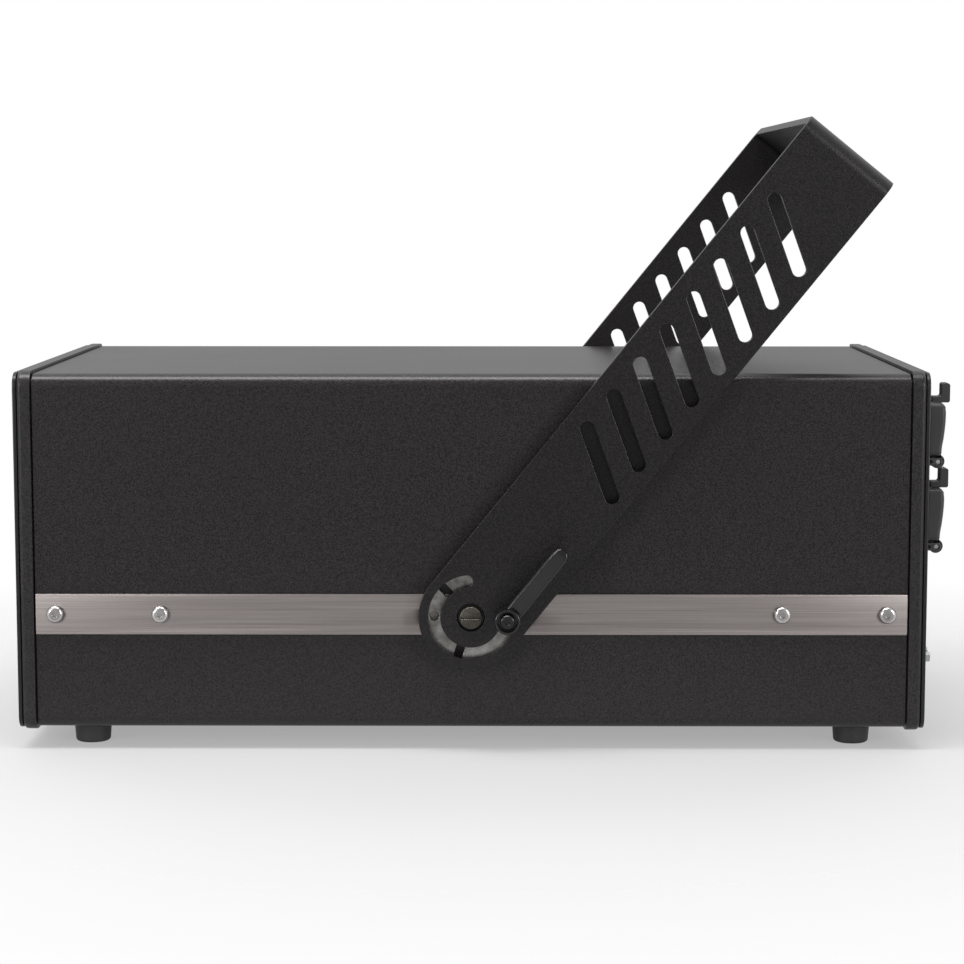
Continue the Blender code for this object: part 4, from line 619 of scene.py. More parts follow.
# The ways that a piece made flat can face once it is in place
FACE_REAR = (math.pi / 2, 0, math.pi / 2)
FACE_FRONT = (math.pi / 2, 0, -math.pi / 2)
FACE_SIDE = {"near": (math.pi / 2, 0, 0), "far": (math.pi / 2, 0, math.pi)}
SIDES = {"near": -1, "far": 1}

# %% [markdown]
# ## The two shells
# The body is two sheets of 2 mm steel, each folded over a round nose so that its long edges
# have a 7 mm radius. A block with three faces deleted and two edges bevelled is the folded
# sheet's outside, and Solidify gives it its thickness inwards. The tray's floor has a row of
# slots through which the fan draws its air.

# %% Cover and tray
SHEET = 0.002
FOLD_RADIUS = 0.007
FOLD_STEPS = 14
EDGE_BREAK = 0.0003


def folded_shell(name, node, opens_up):
    """A sheet folded down or up at both sides, open at its ends."""
    low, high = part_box(node)
    shell = block(name, low, high)
    open_side = 1 if opens_up else -1
    closed_z = low.z if opens_up else high.z
    pick(shell, "FACE", lambda place, normal: abs(normal.x) > 0.9 or normal.z * open_side > 0.9)
    bpy.ops.mesh.delete(type="FACE")
    done()
    round_edges(shell, lambda place, way: abs(way.x) > 0.9 and abs(place.z - closed_z) < 0.001,
                FOLD_RADIUS, FOLD_STEPS)
    modify(shell, "SOLIDIFY", thickness=SHEET, offset=-1, use_even_offset=True)
    return shell


cover = folded_shell("cover", "cover_shell", False)
dress(soften(cover, EDGE_BREAK), coat, "housing", "black_powder_coat", "cover_shell")

INTAKE_SLOTS = 8
INTAKE_PITCH = 0.010
INTAKE_LENGTH = 0.060
INTAKE_WIDTH = 0.0036
INTAKE_START = pivot.x - 0.1695

tray = folded_shell("tray", "base_tray", True)
tray_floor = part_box("base_tray")[0].z
intake = [plate("slot", slot_line(INTAKE_LENGTH, INTAKE_WIDTH, math.pi / 2,
                                  (INTAKE_START + row * INTAKE_PITCH, 0)),
                [], tray_floor - SHEET, tray_floor + 2 * SHEET) for row in range(INTAKE_SLOTS)]
cut(tray, intake)
dress(soften(tray, EDGE_BREAK), coat, "housing", "black_powder_coat", "base_tray")

# %% [markdown]
# ## End frames
# A cast frame closes each end of the body. It stands a little proud of the shells and is
# rounded on its outer edge, with a narrow dark groove where it meets them. Its corners and rim
# are bevelled while it is still a solid block, because a bevel runs cleanest on plain faces,
# and the opening is cut out afterwards. A thinner ring behind it, the spigot, goes into the
# shells.

# %% End frames
FRAME_PROUD = 0.0016
FRAME_BORDER = 0.014
FRAME_THICKNESS = 0.0074
FRAME_RIM = 0.0022
SPIGOT_WALL = 0.003
OPENING_CORNER = 0.0015


def rounded_block(name, low, high, corner, steps=10):
    """A block whose four edges along X are rounded."""
    piece = block(name, low, high)
    round_edges(piece, lambda place, way: abs(way.x) > 0.9, corner, steps)
    return piece


def open_middle(piece, low, high, border):
    """Cuts a rectangular opening through a block along X."""
    reach = Vector((-1, border, border))
    tool = rounded_block("opening", Vector(low) + reach, Vector(high) - reach, OPENING_CORNER, 3)
    return cut(piece, [tool])


for end, sign in (("front", -1), ("rear", 1)):
    low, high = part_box(end + "_frame")
    outside, spigot_end = (low.x, high.x) if sign < 0 else (high.x, low.x)
    back = outside - sign * FRAME_THICKNESS
    face_low = (min(outside, back), low.y, low.z)
    face_high = (max(outside, back), high.y, high.z)
    face = rounded_block(end + "_end_frame", face_low, face_high, FOLD_RADIUS + FRAME_PROUD)
    round_edges(face, lambda place, way: abs(place.x - outside) < 0.00001 and abs(way.x) < 0.1,
                FRAME_RIM, 5)
    open_middle(face, face_low, face_high, FRAME_BORDER)
    inset = FRAME_PROUD + SHEET + EDGE_BREAK
    spigot_low = (min(back, spigot_end), low.y + inset, low.z + inset)
    spigot_high = (max(back, spigot_end), high.y - inset, high.z - inset)
    spigot = rounded_block("spigot", spigot_low, spigot_high, FOLD_RADIUS - SHEET)
    open_middle(spigot, spigot_low, spigot_high, SPIGOT_WALL)
    dress(soften(join([face, spigot]), 0.0002), frame_coat, "housing", "black_powder_coat", end + "_frame")

# %% [markdown]
# ## Countersunk panel screws
# Small socket screws hold the end panels on. Each is a cone whose wide end is flush with the
# panel, with a hexagon sunk into it. One is modelled and the others are copies of its mesh.

# %% Countersunk screws
COUNTERSUNK_RADIUS = 0.0029
COUNTERSUNK_DEPTH = 0.0016
SMALL_HEXAGON = 0.00115
SCREW_PROUD = 0.0001


def countersunk_screw():
    """A flat-headed screw along Z whose face lies at zero."""
    screw = drum("countersunk", COUNTERSUNK_RADIUS * 0.55, -COUNTERSUNK_DEPTH, 0, 32, COUNTERSUNK_RADIUS)
    cut(screw, [drum("hexagon", SMALL_HEXAGON, -COUNTERSUNK_DEPTH * 0.7, COUNTERSUNK_DEPTH, 6)])
    return soften(screw, 0.00012, 1)


def set_screws(name, pattern, face, spots, material, slot):
    """Copies a screw to its spots on a face and joins the copies into one piece."""
    copies = [lay(twin(pattern, name), spot, face) for spot in spots]
    return dress(join(copies), material, "housing", slot)


small_screw = countersunk_screw()
print("one countersunk screw with", len(small_screw.data.polygons), "faces")

# %% [markdown]
# ## Front panel
# The front panel is a black plate with one opening for the beams. It is drawn flat, with the
# opening as a hole in the outline, and turned to face the front.

# %% Front panel
WINDOW_WIDTH = 0.064
WINDOW_HEIGHT = 0.052
WINDOW_CORNER = 0.004
PANEL_INSET = 0.001
PANEL_CORNER = FOLD_RADIUS + FRAME_PROUD - PANEL_INSET
SCREW_FROM_EDGE = 0.0075

front_low, front_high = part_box("front_panel")
rear_low, rear_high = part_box("rear_panel")
window_low, window_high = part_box("aperture_window")
window_z = (window_low.z + window_high.z) / 2
middle_z = (front_low.z + front_high.z) / 2
half_y = front_high.y
half_z = (front_high.z - front_low.z) / 2
thickness = front_high.x - front_low.x

opening = box_line(WINDOW_WIDTH / 2, WINDOW_HEIGHT / 2, WINDOW_CORNER, (0, window_z - middle_z))
panel_line = box_line(half_y, half_z, PANEL_CORNER, steps=10)
front_panel = plate("front_plate", panel_line, [opening], 0, thickness, EDGE_BREAK)
lay(front_panel, (front_high.x, 0, middle_z), FACE_FRONT)
dress(front_panel, panel_coat, "housing", "black_panel", "front_panel")

panel_spots = [(across * (half_y - SCREW_FROM_EDGE), middle_z + up * (half_z - SCREW_FROM_EDGE))
               for across in (-1, 0, 1) for up in (-1, 1)]
set_screws("front_panel_screws", small_screw, FACE_FRONT,
           [(front_low.x - SCREW_PROUD, y, z) for y, z in panel_spots], screw_steel, "polished_steel")

# %% [markdown]
# ## Rear panel
# The rear panel carries the sockets, the key switch and the fan behind a vent. The vent is
# four broken rings of slots, each a slot bent round the fan's middle. All of it is one outline
# with many holes.

# %% Rear panel
VENT_BORE = 0.0375
VENT_RINGS = 4
VENT_BREAKS = 4
VENT_BAR = 0.0047
FAN_SCREW_PITCH = 0.0715
BARREL_BORE = 0.0118


def centre_of(node):
    """The middle of a node's box."""
    low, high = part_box(node)
    return (low + high) / 2


def vent_lines(centre):
    """Broken rings of slots, the breaks of each ring between those of its neighbours."""
    lines = []
    pitch = VENT_BORE / (VENT_RINGS + 0.5)
    sector = 2 * math.pi / VENT_BREAKS
    for index in range(1, VENT_RINGS + 1):
        radius = index * pitch
        gap = pitch / radius
        for part in range(VENT_BREAKS):
            start = (part + index % 2 / 2) * sector + gap / 2
            lines.append(arc_line(radius, pitch - VENT_BAR, start, start + sector - gap, centre,
                                  6 + 4 * index, 5))
    return lines


fan_y, fan_z = centre_of("fan_frame").yz
holes = vent_lines((fan_y, fan_z - middle_z))
for node in ("interlock_socket", "network_socket"):
    holes.append(round_line(BARREL_BORE, (centre_of(node).y, centre_of(node).z - middle_z)))
rear_panel = plate("rear_plate", panel_line, holes, 0, thickness, EDGE_BREAK)
lay(rear_panel, (rear_low.x, 0, middle_z), FACE_REAR)
dress(rear_panel, panel_coat, "housing", "black_panel", "rear_panel")

rear_screw_x = rear_high.x + SCREW_PROUD
set_screws("rear_panel_screws", small_screw, FACE_REAR,
           [(rear_screw_x, y, z) for y, z in panel_spots], screw_steel, "polished_steel")
set_screws("fan_screws", small_screw, FACE_REAR,
           [(rear_screw_x, fan_y + across * FAN_SCREW_PITCH / 2, fan_z + up * FAN_SCREW_PITCH / 2)
            for across in (-1, 1) for up in (-1, 1)], screw_steel, "polished_steel")

# %% [markdown]
# ## Side strips and their screws
# A strip of brushed stainless steel covers the seam between the shells on each side. Four
# button-head screws hold it. A button head is a low drum with a wide bevel round its top and
# a hexagon sunk into it.

# %% Side strips
SCREW_HEAD = 0.00475
SCREW_HEIGHT = 0.0026
SCREW_SHANK = 0.0025
SCREW_HEXAGON = 0.00174
SHANK_END = -0.0095
BOLT_HOLE = 0.0053

for side, sign in SIDES.items():
    low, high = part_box("side_strip_" + side)
    half_length = (high.x - low.x) / 2
    half_height = (high.z - low.z) / 2
    outer = box_line(half_length, half_height, 0.0004, steps=2)
    strip = plate("steel_strip_" + side, outer, [round_line(BOLT_HOLE)], 0, high.y - low.y, 0.0002)
    lay(strip, (pivot.x, high.y if sign < 0 else low.y, (low.z + high.z) / 2), FACE_SIDE[side])
    dress(strip, strip_steel, "housing", "brushed_stainless", "side_strip_" + side)

button = drum("button", SCREW_HEAD, 0, SCREW_HEIGHT, 48)
round_edges(button, lambda place, way: place.z > SCREW_HEIGHT * 0.9, SCREW_HEIGHT * 0.8, 6)
cut(button, [drum("hexagon", SCREW_HEXAGON, SCREW_HEIGHT * 0.3, SCREW_HEIGHT * 2, 6)])
button = join([soften(button, 0.00012, 2), drum("shank", SCREW_SHANK, SHANK_END, 0.0002, 24)])
for side, sign in SIDES.items():
    for index in range(1, 5):
        node = "strip_screw_%s_%d" % (side, index)
        middle = centre_of(node)
        low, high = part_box(node)
        face_y = low.y + SCREW_HEIGHT if sign < 0 else high.y - SCREW_HEIGHT
        screw = twin(button, "button_screw_%s_%d" % (side, index))
        lay(screw, (middle.x, face_y, middle.z), FACE_SIDE[side])
        dress(screw, screw_steel, "housing", "polished_steel", node)
bpy.data.objects.remove(button, do_unlink=True)

# %% [markdown]
# ## Feet
# Four rubber feet carry the box. Each is a drum with a rounded sole, a little narrower at the
# floor, and a deep recess for its screw.

# %% Feet
FOOT_SOLE_ROUND = 0.0014
FOOT_TAPER = 0.0009
FOOT_RECESS = 0.004

for end in ("front", "rear"):
    for side in SIDES:
        node = "foot_%s_%s" % (end, side)
        low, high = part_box(node)
        radius = (high.x - low.x) / 2
        foot = drum("rubber_foot_%s_%s" % (end, side), radius - FOOT_TAPER, 0, high.z, 48, radius)
        round_edges(foot, lambda place, way: place.z < 0.0001 and abs(way.z) < 0.1, FOOT_SOLE_ROUND, 4)
        pick(foot, "FACE", lambda place, normal: normal.z < -0.999 and place.z < 0.0001)
        bpy.ops.mesh.inset(thickness=radius - FOOT_TAPER - FOOT_SOLE_ROUND - FOOT_RECESS)
        bpy.ops.mesh.extrude_region_move(TRANSFORM_OT_translate={"value": (0, 0, high.z * 0.5)})
        done()
        lay(foot, ((low.x + high.x) / 2, (low.y + high.y) / 2, 0))
        dress(soften(foot, 0.0003), foot_rubber, "housing", "black_rubber", node)

# %% [markdown]
# ## Bracket
# The bracket is one long plate, bent at two places into a U, with eight slanted slots in each
# arm and a slot bent round each pivot. One half is made upright at the origin: half a disc is
# the round end, its flat side is drawn up into the arm, spun round the bend and drawn across
# to the middle. The slots and holes are cut while the half is still a closed solid, because
# a Boolean is only sure of its inside then. Mirror makes the other arm, and the whole is
# tilted about the pivot as the photograph shows it.

# %% Half a bracket
BRACKET_LEAN = 39.0
BRACKET_PLATE = 0.005
BEND_RADIUS = 0.009
ARM_HALF_WIDTH = 0.0285
ARM_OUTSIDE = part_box("bracket")[1].y
ARM_INSIDE = ARM_OUTSIDE - BRACKET_PLATE
WEB_OUTSIDE = 0.32547
BEND_HEIGHT = WEB_OUTSIDE - BEND_RADIUS

bracket = drum("bracket_bar", ARM_HALF_WIDTH, ARM_INSIDE, ARM_OUTSIDE, 96)
lay(bracket, (0, 0, 0), FACE_SIDE["near"])
pick(bracket, "VERT", lambda place, normal: True)
bpy.ops.mesh.bisect(plane_co=(0, 0, 0), plane_no=(0, 0, 1), use_fill=True, clear_outer=True)
done()
pick(bracket, "FACE", lambda place, normal: normal.z > 0.9 and abs(place.z) < 0.0001)
bpy.ops.mesh.extrude_region_move(TRANSFORM_OT_translate={"value": (0, 0, BEND_HEIGHT)})
bpy.ops.mesh.spin(steps=14, angle=math.pi / 2, axis=(1, 0, 0),
                  center=(0, -ARM_OUTSIDE + BEND_RADIUS, BEND_HEIGHT))
bpy.ops.mesh.extrude_region_move(TRANSFORM_OT_translate={"value": (0, ARM_OUTSIDE - BEND_RADIUS, 0)})
done()
tidy_normals(bracket)
print("half bracket", [round(value * 1000, 1) for value in bracket.dimensions])

# %% Slots, mirror and tilt
SLOT_COUNT = 8
SLOT_PITCH = 0.0226
SLOT_WIDTH = 0.0078
SLOT_TILT = math.radians(149)
SLOT_LENGTH = 0.03967
SLOT_SHIFT = 0.001
LAST_SLOT_FROM_WEB = 0.0575
STUD_OFFSET = 0.020
ARC_WIDTH = 0.0066
COUNTERBORE = 0.0076
COUNTERBORE_FLOOR = ARM_OUTSIDE - 0.0025
# The web's holes: how far across from the middle, and their radius
WEB_HOLES = ((-0.080, 0.0053), (0, 0.0065))

first_slot = WEB_OUTSIDE - LAST_SLOT_FROM_WEB - (SLOT_COUNT - 1) * SLOT_PITCH
lines = [slot_line(SLOT_LENGTH, SLOT_WIDTH, SLOT_TILT, (SLOT_SHIFT, first_slot + index * SLOT_PITCH), 10)
         for index in range(SLOT_COUNT)]
lines.append(arc_line(STUD_OFFSET, ARC_WIDTH, math.radians(-225), math.radians(45), steps=60))
below, above = ARM_INSIDE - 0.002, ARM_OUTSIDE + 0.002
tools = [plate("tool", line, [], below, above) for line in lines]
tools.append(lathe("tool", [(0, below), (BOLT_HOLE, below), (BOLT_HOLE, COUNTERBORE_FLOOR),
                            (COUNTERBORE, COUNTERBORE_FLOOR), (COUNTERBORE, above), (0, above)], 64))
for tool in tools:
    lay(tool, (0, 0, 0), FACE_SIDE["near"])
tools += [lay(drum("tool", radius, -0.01, 0.01, 40), (0, y, WEB_OUTSIDE)) for y, radius in WEB_HOLES]
cut(bracket, tools)
pick(bracket, "FACE", lambda place, normal: normal.y > 0.9 and abs(place.y) < 0.0001)
bpy.ops.mesh.delete(type="FACE")
done()
modify(bracket, "MIRROR", use_axis=(False, True, False), merge_threshold=0.00001)
tidy_normals(bracket)
lay(bracket, pivot, (0, math.radians(BRACKET_LEAN), 0))
dress(soften(bracket, 0.00045, 2), bracket_coat, "bracket", "black_powder_coat", "bracket")

# %% [markdown]
# ## Pivot bolts and friction discs
# Each arm turns on a slotted shoulder bolt of dull zinc-plated steel, whose head lies in a
# counterbore. Behind the arm a bright disc with notches shows through the bent slot. The bolt
# is a lathe piece: its profile is spun round its axis, and the driver slot is cut across.

# %% Bolts and discs
BOLT_THREAD = 0.0040
BOLT_SHOULDER = 0.0050
BOLT_HEAD = 0.0062
BOLT_HEAD_HEIGHT = 0.004
DRIVER_SLOT = 0.0014
THREAD_END = 0.1172
DISC_RADIUS = 0.0255
STUD_HOLE = 0.0033
TAPPED_HOLE = 0.0025
NOTCH_WIDTH = 0.005
NOTCH_ROOT = 0.0165
NOTCH_ANGLES = (134, 252)


def notch_line(angle):
    """A notch's outline from its root to beyond the disc's rim."""
    points = []
    for arm, side in ((NOTCH_ROOT, -1), (DISC_RADIUS * 1.2, -1), (DISC_RADIUS * 1.2, 1), (NOTCH_ROOT, 1)):
        across = side * NOTCH_WIDTH / 2
        points.append((arm * math.cos(angle) - across * math.sin(angle),
                       arm * math.sin(angle) + across * math.cos(angle)))
    return points


for side, sign in SIDES.items():
    head = COUNTERBORE_FLOOR + EDGE_BREAK
    top = head + BOLT_HEAD_HEIGHT
    disc_low, disc_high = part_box("friction_disc_" + side)
    disc_back, disc_front = sorted((abs(disc_low.y), abs(disc_high.y)))
    bolt = lathe("shoulder_bolt_" + side, [
        (0, THREAD_END), (BOLT_THREAD, THREAD_END), (BOLT_THREAD, disc_back), (BOLT_SHOULDER, disc_back),
        (BOLT_SHOULDER, head), (BOLT_HEAD, head), (BOLT_HEAD, top - 0.0007),
        (BOLT_HEAD - 0.0003, top - 0.0002), (BOLT_HEAD - 0.0010, top), (0, top)], 64)
    cut(bolt, [block("tool", (-0.01, -DRIVER_SLOT / 2, top - DRIVER_SLOT),
                     (0.01, DRIVER_SLOT / 2, top + 0.001))])
    lay(bolt, (pivot.x, 0, pivot.z), FACE_SIDE[side])
    dress(soften(bolt, 0.00012, 1), zinc, "housing", "dull_zinc", "pivot_bolt_" + side)

    along = -sign
    angles = [math.radians(angle if along == 1 else 180 - angle) for angle in NOTCH_ANGLES]
    disc = plate("ground_disc_" + side, round_line(DISC_RADIUS, count=72),
                 [round_line(BOLT_HOLE), round_line(STUD_HOLE, (along * STUD_OFFSET, 0), 24),
                  round_line(TAPPED_HOLE, (-along * STUD_OFFSET, 0), 24)], disc_back, disc_front, 0.0004)
    cut(disc, [plate("tool", notch_line(angle), [], disc_back - 0.001, disc_front + 0.001)
               for angle in angles])
    lay(disc, (pivot.x, 0, pivot.z), FACE_SIDE[side])
    dress(soften(disc, 0.0003), disc_steel, "housing", "polished_steel", "friction_disc_" + side)

# %% [markdown]
# ## Clamping levers
# The lever locks the bracket. Pulled outwards against a spring it turns free on its stud, so
# it can be parked at any angle, and released it grips again. Its hub is spun on a lathe. Its
# handle is a block drawn out step by step, each step a little narrower or thicker, with its
# long edges rounded and its face sunk inside a thin rim that catches the light.

# %% Studs and levers
STUD = 0.0030
COLLAR = 0.0053
COLLAR_HEIGHT = 0.007
NECK = 0.0029
HUB = 0.0070
HUB_GAP = 0.0015
HUB_HEIGHT = 0.0145
HUB_FLOOR = 0.003
POCKET = 0.0056
HUB_SCREW = 0.0039
LEVER_START = 0.0058
LEVER_WIDTH = 0.0096
LEVER_DEPTH = 0.0064
LEVER_ANGLE = 52.6
# Stations along the handle: reach, share of its width and of its depth, rise
LEVER_STATIONS = ((0.012, 1.02, 0.94, 0.0006), (0.018, 0.98, 0.98, 0.0017), (0.027, 0.96, 1.00, 0.0036),
                  (0.038, 0.97, 0.98, 0.0062), (0.045, 0.95, 0.92, 0.0080), (0.0481, 0.84, 0.80, 0.0088),
                  (0.0495, 0.58, 0.62, 0.0091))


def lever_handle(height):
    """A block drawn out along X through its stations."""
    reach, wide, deep, rise = LEVER_START + 0.001, 1.0, 0.84, 0.0
    handle = block("handle", (LEVER_START, -LEVER_WIDTH / 2, height - LEVER_DEPTH * deep / 2),
                   (reach, LEVER_WIDTH / 2, height + LEVER_DEPTH * deep / 2))
    for next_reach, next_wide, next_deep, next_rise in LEVER_STATIONS:
        end = reach
        pick(handle, "FACE", lambda place, normal: normal.x > 0.5 and place.x > end - 0.0002)
        bpy.ops.mesh.extrude_region_move(
            TRANSFORM_OT_translate={"value": (next_reach - reach, 0, next_rise - rise)})
        bpy.ops.transform.resize(value=(1, next_wide / wide, next_deep / deep),
                                 center_override=(next_reach, 0, height + next_rise))
        done()
        reach, wide, deep, rise = next_reach, next_wide, next_deep, next_rise
    round_edges(handle, lambda place, way: abs(way.x) > 0.55, 0.0013, 4)
    pick(handle, "FACE", lambda place, normal: normal.z > 0.94 and place.x > LEVER_START + 0.003)
    bpy.ops.mesh.inset(thickness=0.00055)
    bpy.ops.mesh.extrude_region_move(TRANSFORM_OT_translate={"value": (0, 0, -0.0004)})
    done()
    return handle


for side, sign in SIDES.items():
    axis = places["clamp_%s_turn" % side]
    base = ARM_OUTSIDE + EDGE_BREAK
    collar_top = base + COLLAR_HEIGHT
    hub_low = base + HUB_GAP
    hub_top = hub_low + HUB_HEIGHT
    web_low = collar_top + EDGE_BREAK
    web_top = web_low + HUB_FLOOR
    stud = lathe("lever_stud_" + side, [
        (0, THREAD_END - 0.0005), (STUD - 0.0005, THREAD_END - 0.0005), (STUD, THREAD_END), (STUD, base),
        (COLLAR, base), (COLLAR, collar_top), (NECK, collar_top), (NECK, hub_top - 0.0022),
        (HUB_SCREW, hub_top - 0.0022), (HUB_SCREW, hub_top - 0.0005), (HUB_SCREW - 0.0005, hub_top),
        (0.0019, hub_top), (0, hub_top)], 48)
    cut(stud, [drum("tool", 0.0016, hub_top - 0.0014, hub_top + 0.001, 6)])
    lay(stud, (axis.x, 0, axis.z), FACE_SIDE[side])
    dress(soften(stud, 0.0001, 1), lever_black, side + "_clamp", "black_gloss", "clamp_stud_" + side)

    bore = NECK + EDGE_BREAK
    hub = lathe("hub", [
        (POCKET, hub_low), (HUB, hub_low), (HUB, hub_top - 0.0008), (HUB - 0.0003, hub_top - 0.0002),
        (HUB - 0.0008, hub_top), (POCKET, hub_top), (POCKET, web_top), (bore, web_top), (bore, web_low),
        (POCKET, web_low)], 64, closed=True)
    lever = join([hub, lever_handle((web_low + web_top) / 2 + 0.0020)])
    lever.name = "lever_" + side
    lay(lever, (0, 0, 0), (0, 0, math.radians(LEVER_ANGLE if sign < 0 else 180 - LEVER_ANGLE)))
    lay(lever, (axis.x, 0, axis.z), FACE_SIDE[side])
    dress(soften(lever, 0.00015, 2), lever_black, side + "_lever", "black_gloss", "clamp_lever_" + side)

# %% [markdown]
# ## Window and masking plate
# A pane of coated glass closes the beams' opening from inside. In front of it a plate slides up
# and down on two knurled thumbscrews, to keep the beams above people's heads. A knurled rim is
# a drum whose every second edge is drawn in a little.

# %% Window, mask and thumbscrews
MASK_SLOT_WIDTH = 0.0044
MASK_TRAVEL = 0.030
MASK_SLOT_FROM_SIDE = 0.008
MASK_SLOT_FROM_TOP = 0.006
THUMB_RADIUS = 0.0050
THUMB_HEIGHT = 0.0040
THUMB_RIDGES = 32
THUMB_SHANK = 0.0020


def knurled_head(name, radius, height, ridges):
    """A thumbscrew's head with a ridged rim and a raised middle, along Z from zero."""
    head = drum(name, radius, 0, height, ridges * 2)
    step = math.pi / ridges
    pick(head, "VERT", lambda place, normal: round(math.atan2(place.y, place.x) / step) % 2 == 0)
    bpy.ops.transform.resize(value=(0.92, 0.92, 1), center_override=(0, 0, 0))
    done()
    pick(head, "FACE", lambda place, normal: normal.z > 0.9)
    bpy.ops.mesh.inset(thickness=radius * 0.22)
    bpy.ops.mesh.extrude_region_move(TRANSFORM_OT_translate={"value": (0, 0, height * 0.2)})
    done()
    return head


glass_half = (window_high - window_low) / 2
window = plate("window_pane", box_line(glass_half.y, glass_half.z, WINDOW_CORNER), [],
               0, 2 * glass_half.x, 0.0004)
lay(window, (window_high.x, 0, centre_of("aperture_window").z), FACE_FRONT)
dress(window, window_glass, "housing", "window_glass", "aperture_window")

mask_low, mask_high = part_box("aperture_mask")
mask_z = (mask_low.z + mask_high.z) / 2
mask_half_z = (mask_high.z - mask_low.z) / 2
thumb_y = mask_high.y - MASK_SLOT_FROM_SIDE
slot_top = mask_half_z - MASK_SLOT_FROM_TOP
mask_slots = [slot_line(MASK_TRAVEL, MASK_SLOT_WIDTH, math.pi / 2,
                        (side * thumb_y, slot_top - MASK_TRAVEL / 2)) for side in (-1, 1)]
mask = plate("masking_plate", box_line(mask_high.y, mask_half_z, WINDOW_CORNER), mask_slots, 0,
             mask_high.x - mask_low.x, 0.0003)
lay(mask, (mask_high.x, 0, mask_z), FACE_FRONT)
dress(mask, panel_coat, "mask", "black_panel", "aperture_mask")

for name, side in (("thumbscrew_near", -1), ("thumbscrew_far", 1)):
    thumb = knurled_head(name, THUMB_RADIUS, THUMB_HEIGHT, THUMB_RIDGES)
    thumb = join([thumb, drum("shank", THUMB_SHANK, mask_low.x - front_low.x, 0.001, 24)])
    lay(thumb, (mask_low.x - EDGE_BREAK, side * thumb_y, mask_z + slot_top), FACE_FRONT)
    dress(soften(thumb, 0.00015, 1), lever_black, "housing", "black_gloss")

# %% [markdown]
# ## Round sockets
# The two mains sockets and the interlock socket are one design: a square flange, a barrel that
# goes through the panel, a bore with a centre post, contact blades, and two keys that only let
# the right plug in. They are made along Z with the panel's face at zero and turned to the rear.

# %% Round sockets
PANEL_FACE = rear_high.x
UNIT_HALF_WIDTH = 0.013
UNIT_HALF_HEIGHT = 0.0155
UNIT_CORNER = 0.003
UNIT_FACE = 0.0028
BARREL_RADIUS = 0.0115
BARREL_DEPTH = 0.022
SOCKET_BORE = 0.0092
SOCKET_FLOOR = UNIT_FACE - 0.014
POST_RADIUS = 0.0055
POST_TOP = SOCKET_FLOOR + 0.009
# The keys' half widths and their turns round the bore
KEYS = ((0.0016, 90), (0.0010, 215))
UNIT_SCREWS = ((-0.0095, 0.012), (0.0095, -0.012))
HINGE_BELOW = 0.0170
HINGE_PROUD = 0.0077
HINGE_BARREL = 0.0039
HINGE_PIN = 0.0014
EAR_WIDTH = 0.003
EAR_HALF = 0.0021
EAR_OPENING = (0.0008, 0.0042)



def socket_place(y, z):
    """A point on the outer face of the rear panel."""
    return Vector((PANEL_FACE, y, z))


mains_y = centre_of("inlet_lid").y
mains_places = {use: socket_place(mains_y, places["%s_lid_hinge" % use].z + HINGE_BELOW)
                for use in ("inlet", "outlet")}
interlock_place = socket_place(*centre_of("interlock_socket").yz)
network_place = socket_place(*centre_of("network_socket").yz)
data_place = socket_place(*centre_of("data_socket").yz)
key_place = socket_place(*places["key_turn"].yz)


def round_socket(name):
    """A flange, a barrel with its bore and post, and two keys in the bore."""
    flange = plate(name, box_line(UNIT_HALF_WIDTH, UNIT_HALF_HEIGHT, UNIT_CORNER),
                   [round_line(SOCKET_BORE, count=48)], EDGE_BREAK, UNIT_FACE, 0.0004)
    barrel = lathe("barrel", [
        (0, -BARREL_DEPTH), (BARREL_RADIUS - 0.0006, -BARREL_DEPTH),
        (BARREL_RADIUS, -BARREL_DEPTH + 0.0006), (BARREL_RADIUS, 0.001), (SOCKET_BORE, 0.001),
        (SOCKET_BORE, SOCKET_FLOOR), (POST_RADIUS, SOCKET_FLOOR), (POST_RADIUS, POST_TOP - 0.0006),
        (POST_RADIUS - 0.0006, POST_TOP), (0.0022, POST_TOP), (0.0018, POST_TOP - 0.0014),
        (0, POST_TOP - 0.0014)])
    rim_low, rim_high = UNIT_FACE - 0.0006, UNIT_FACE + 0.0006
    rim = lathe("rim", [
        (SOCKET_BORE, rim_low), (SOCKET_BORE, rim_high - 0.0002), (SOCKET_BORE + 0.0002, rim_high),
        (SOCKET_BORE + 0.0009, rim_high), (SOCKET_BORE + 0.0011, rim_low)], closed=True)
    keys = []
    for half, turn in KEYS:
        key = block("key", (SOCKET_BORE - 0.0011, -half, SOCKET_FLOOR),
                    (SOCKET_BORE + 0.0003, half, UNIT_FACE - 0.0014))
        keys.append(lay(key, (0, 0, 0), (0, 0, math.radians(turn))))
    return join([flange, barrel, rim] + keys)


def contact_blades(name, count, place):
    """Bright blades in the gap between post and bore."""
    blades = []
    for index in range(count):
        blade = block(name, (0.0066, -0.0014, SOCKET_FLOOR), (0.0075, 0.0014, SOCKET_FLOOR + 0.0075))
        blades.append(lay(blade, (0, 0, 0), (0, 0, 2 * math.pi * index / count + 0.6)))
    blades = lay(join(blades), place, FACE_REAR)
    dress(soften(blades, 0.0002, 1), brass, "housing", "polished_steel")


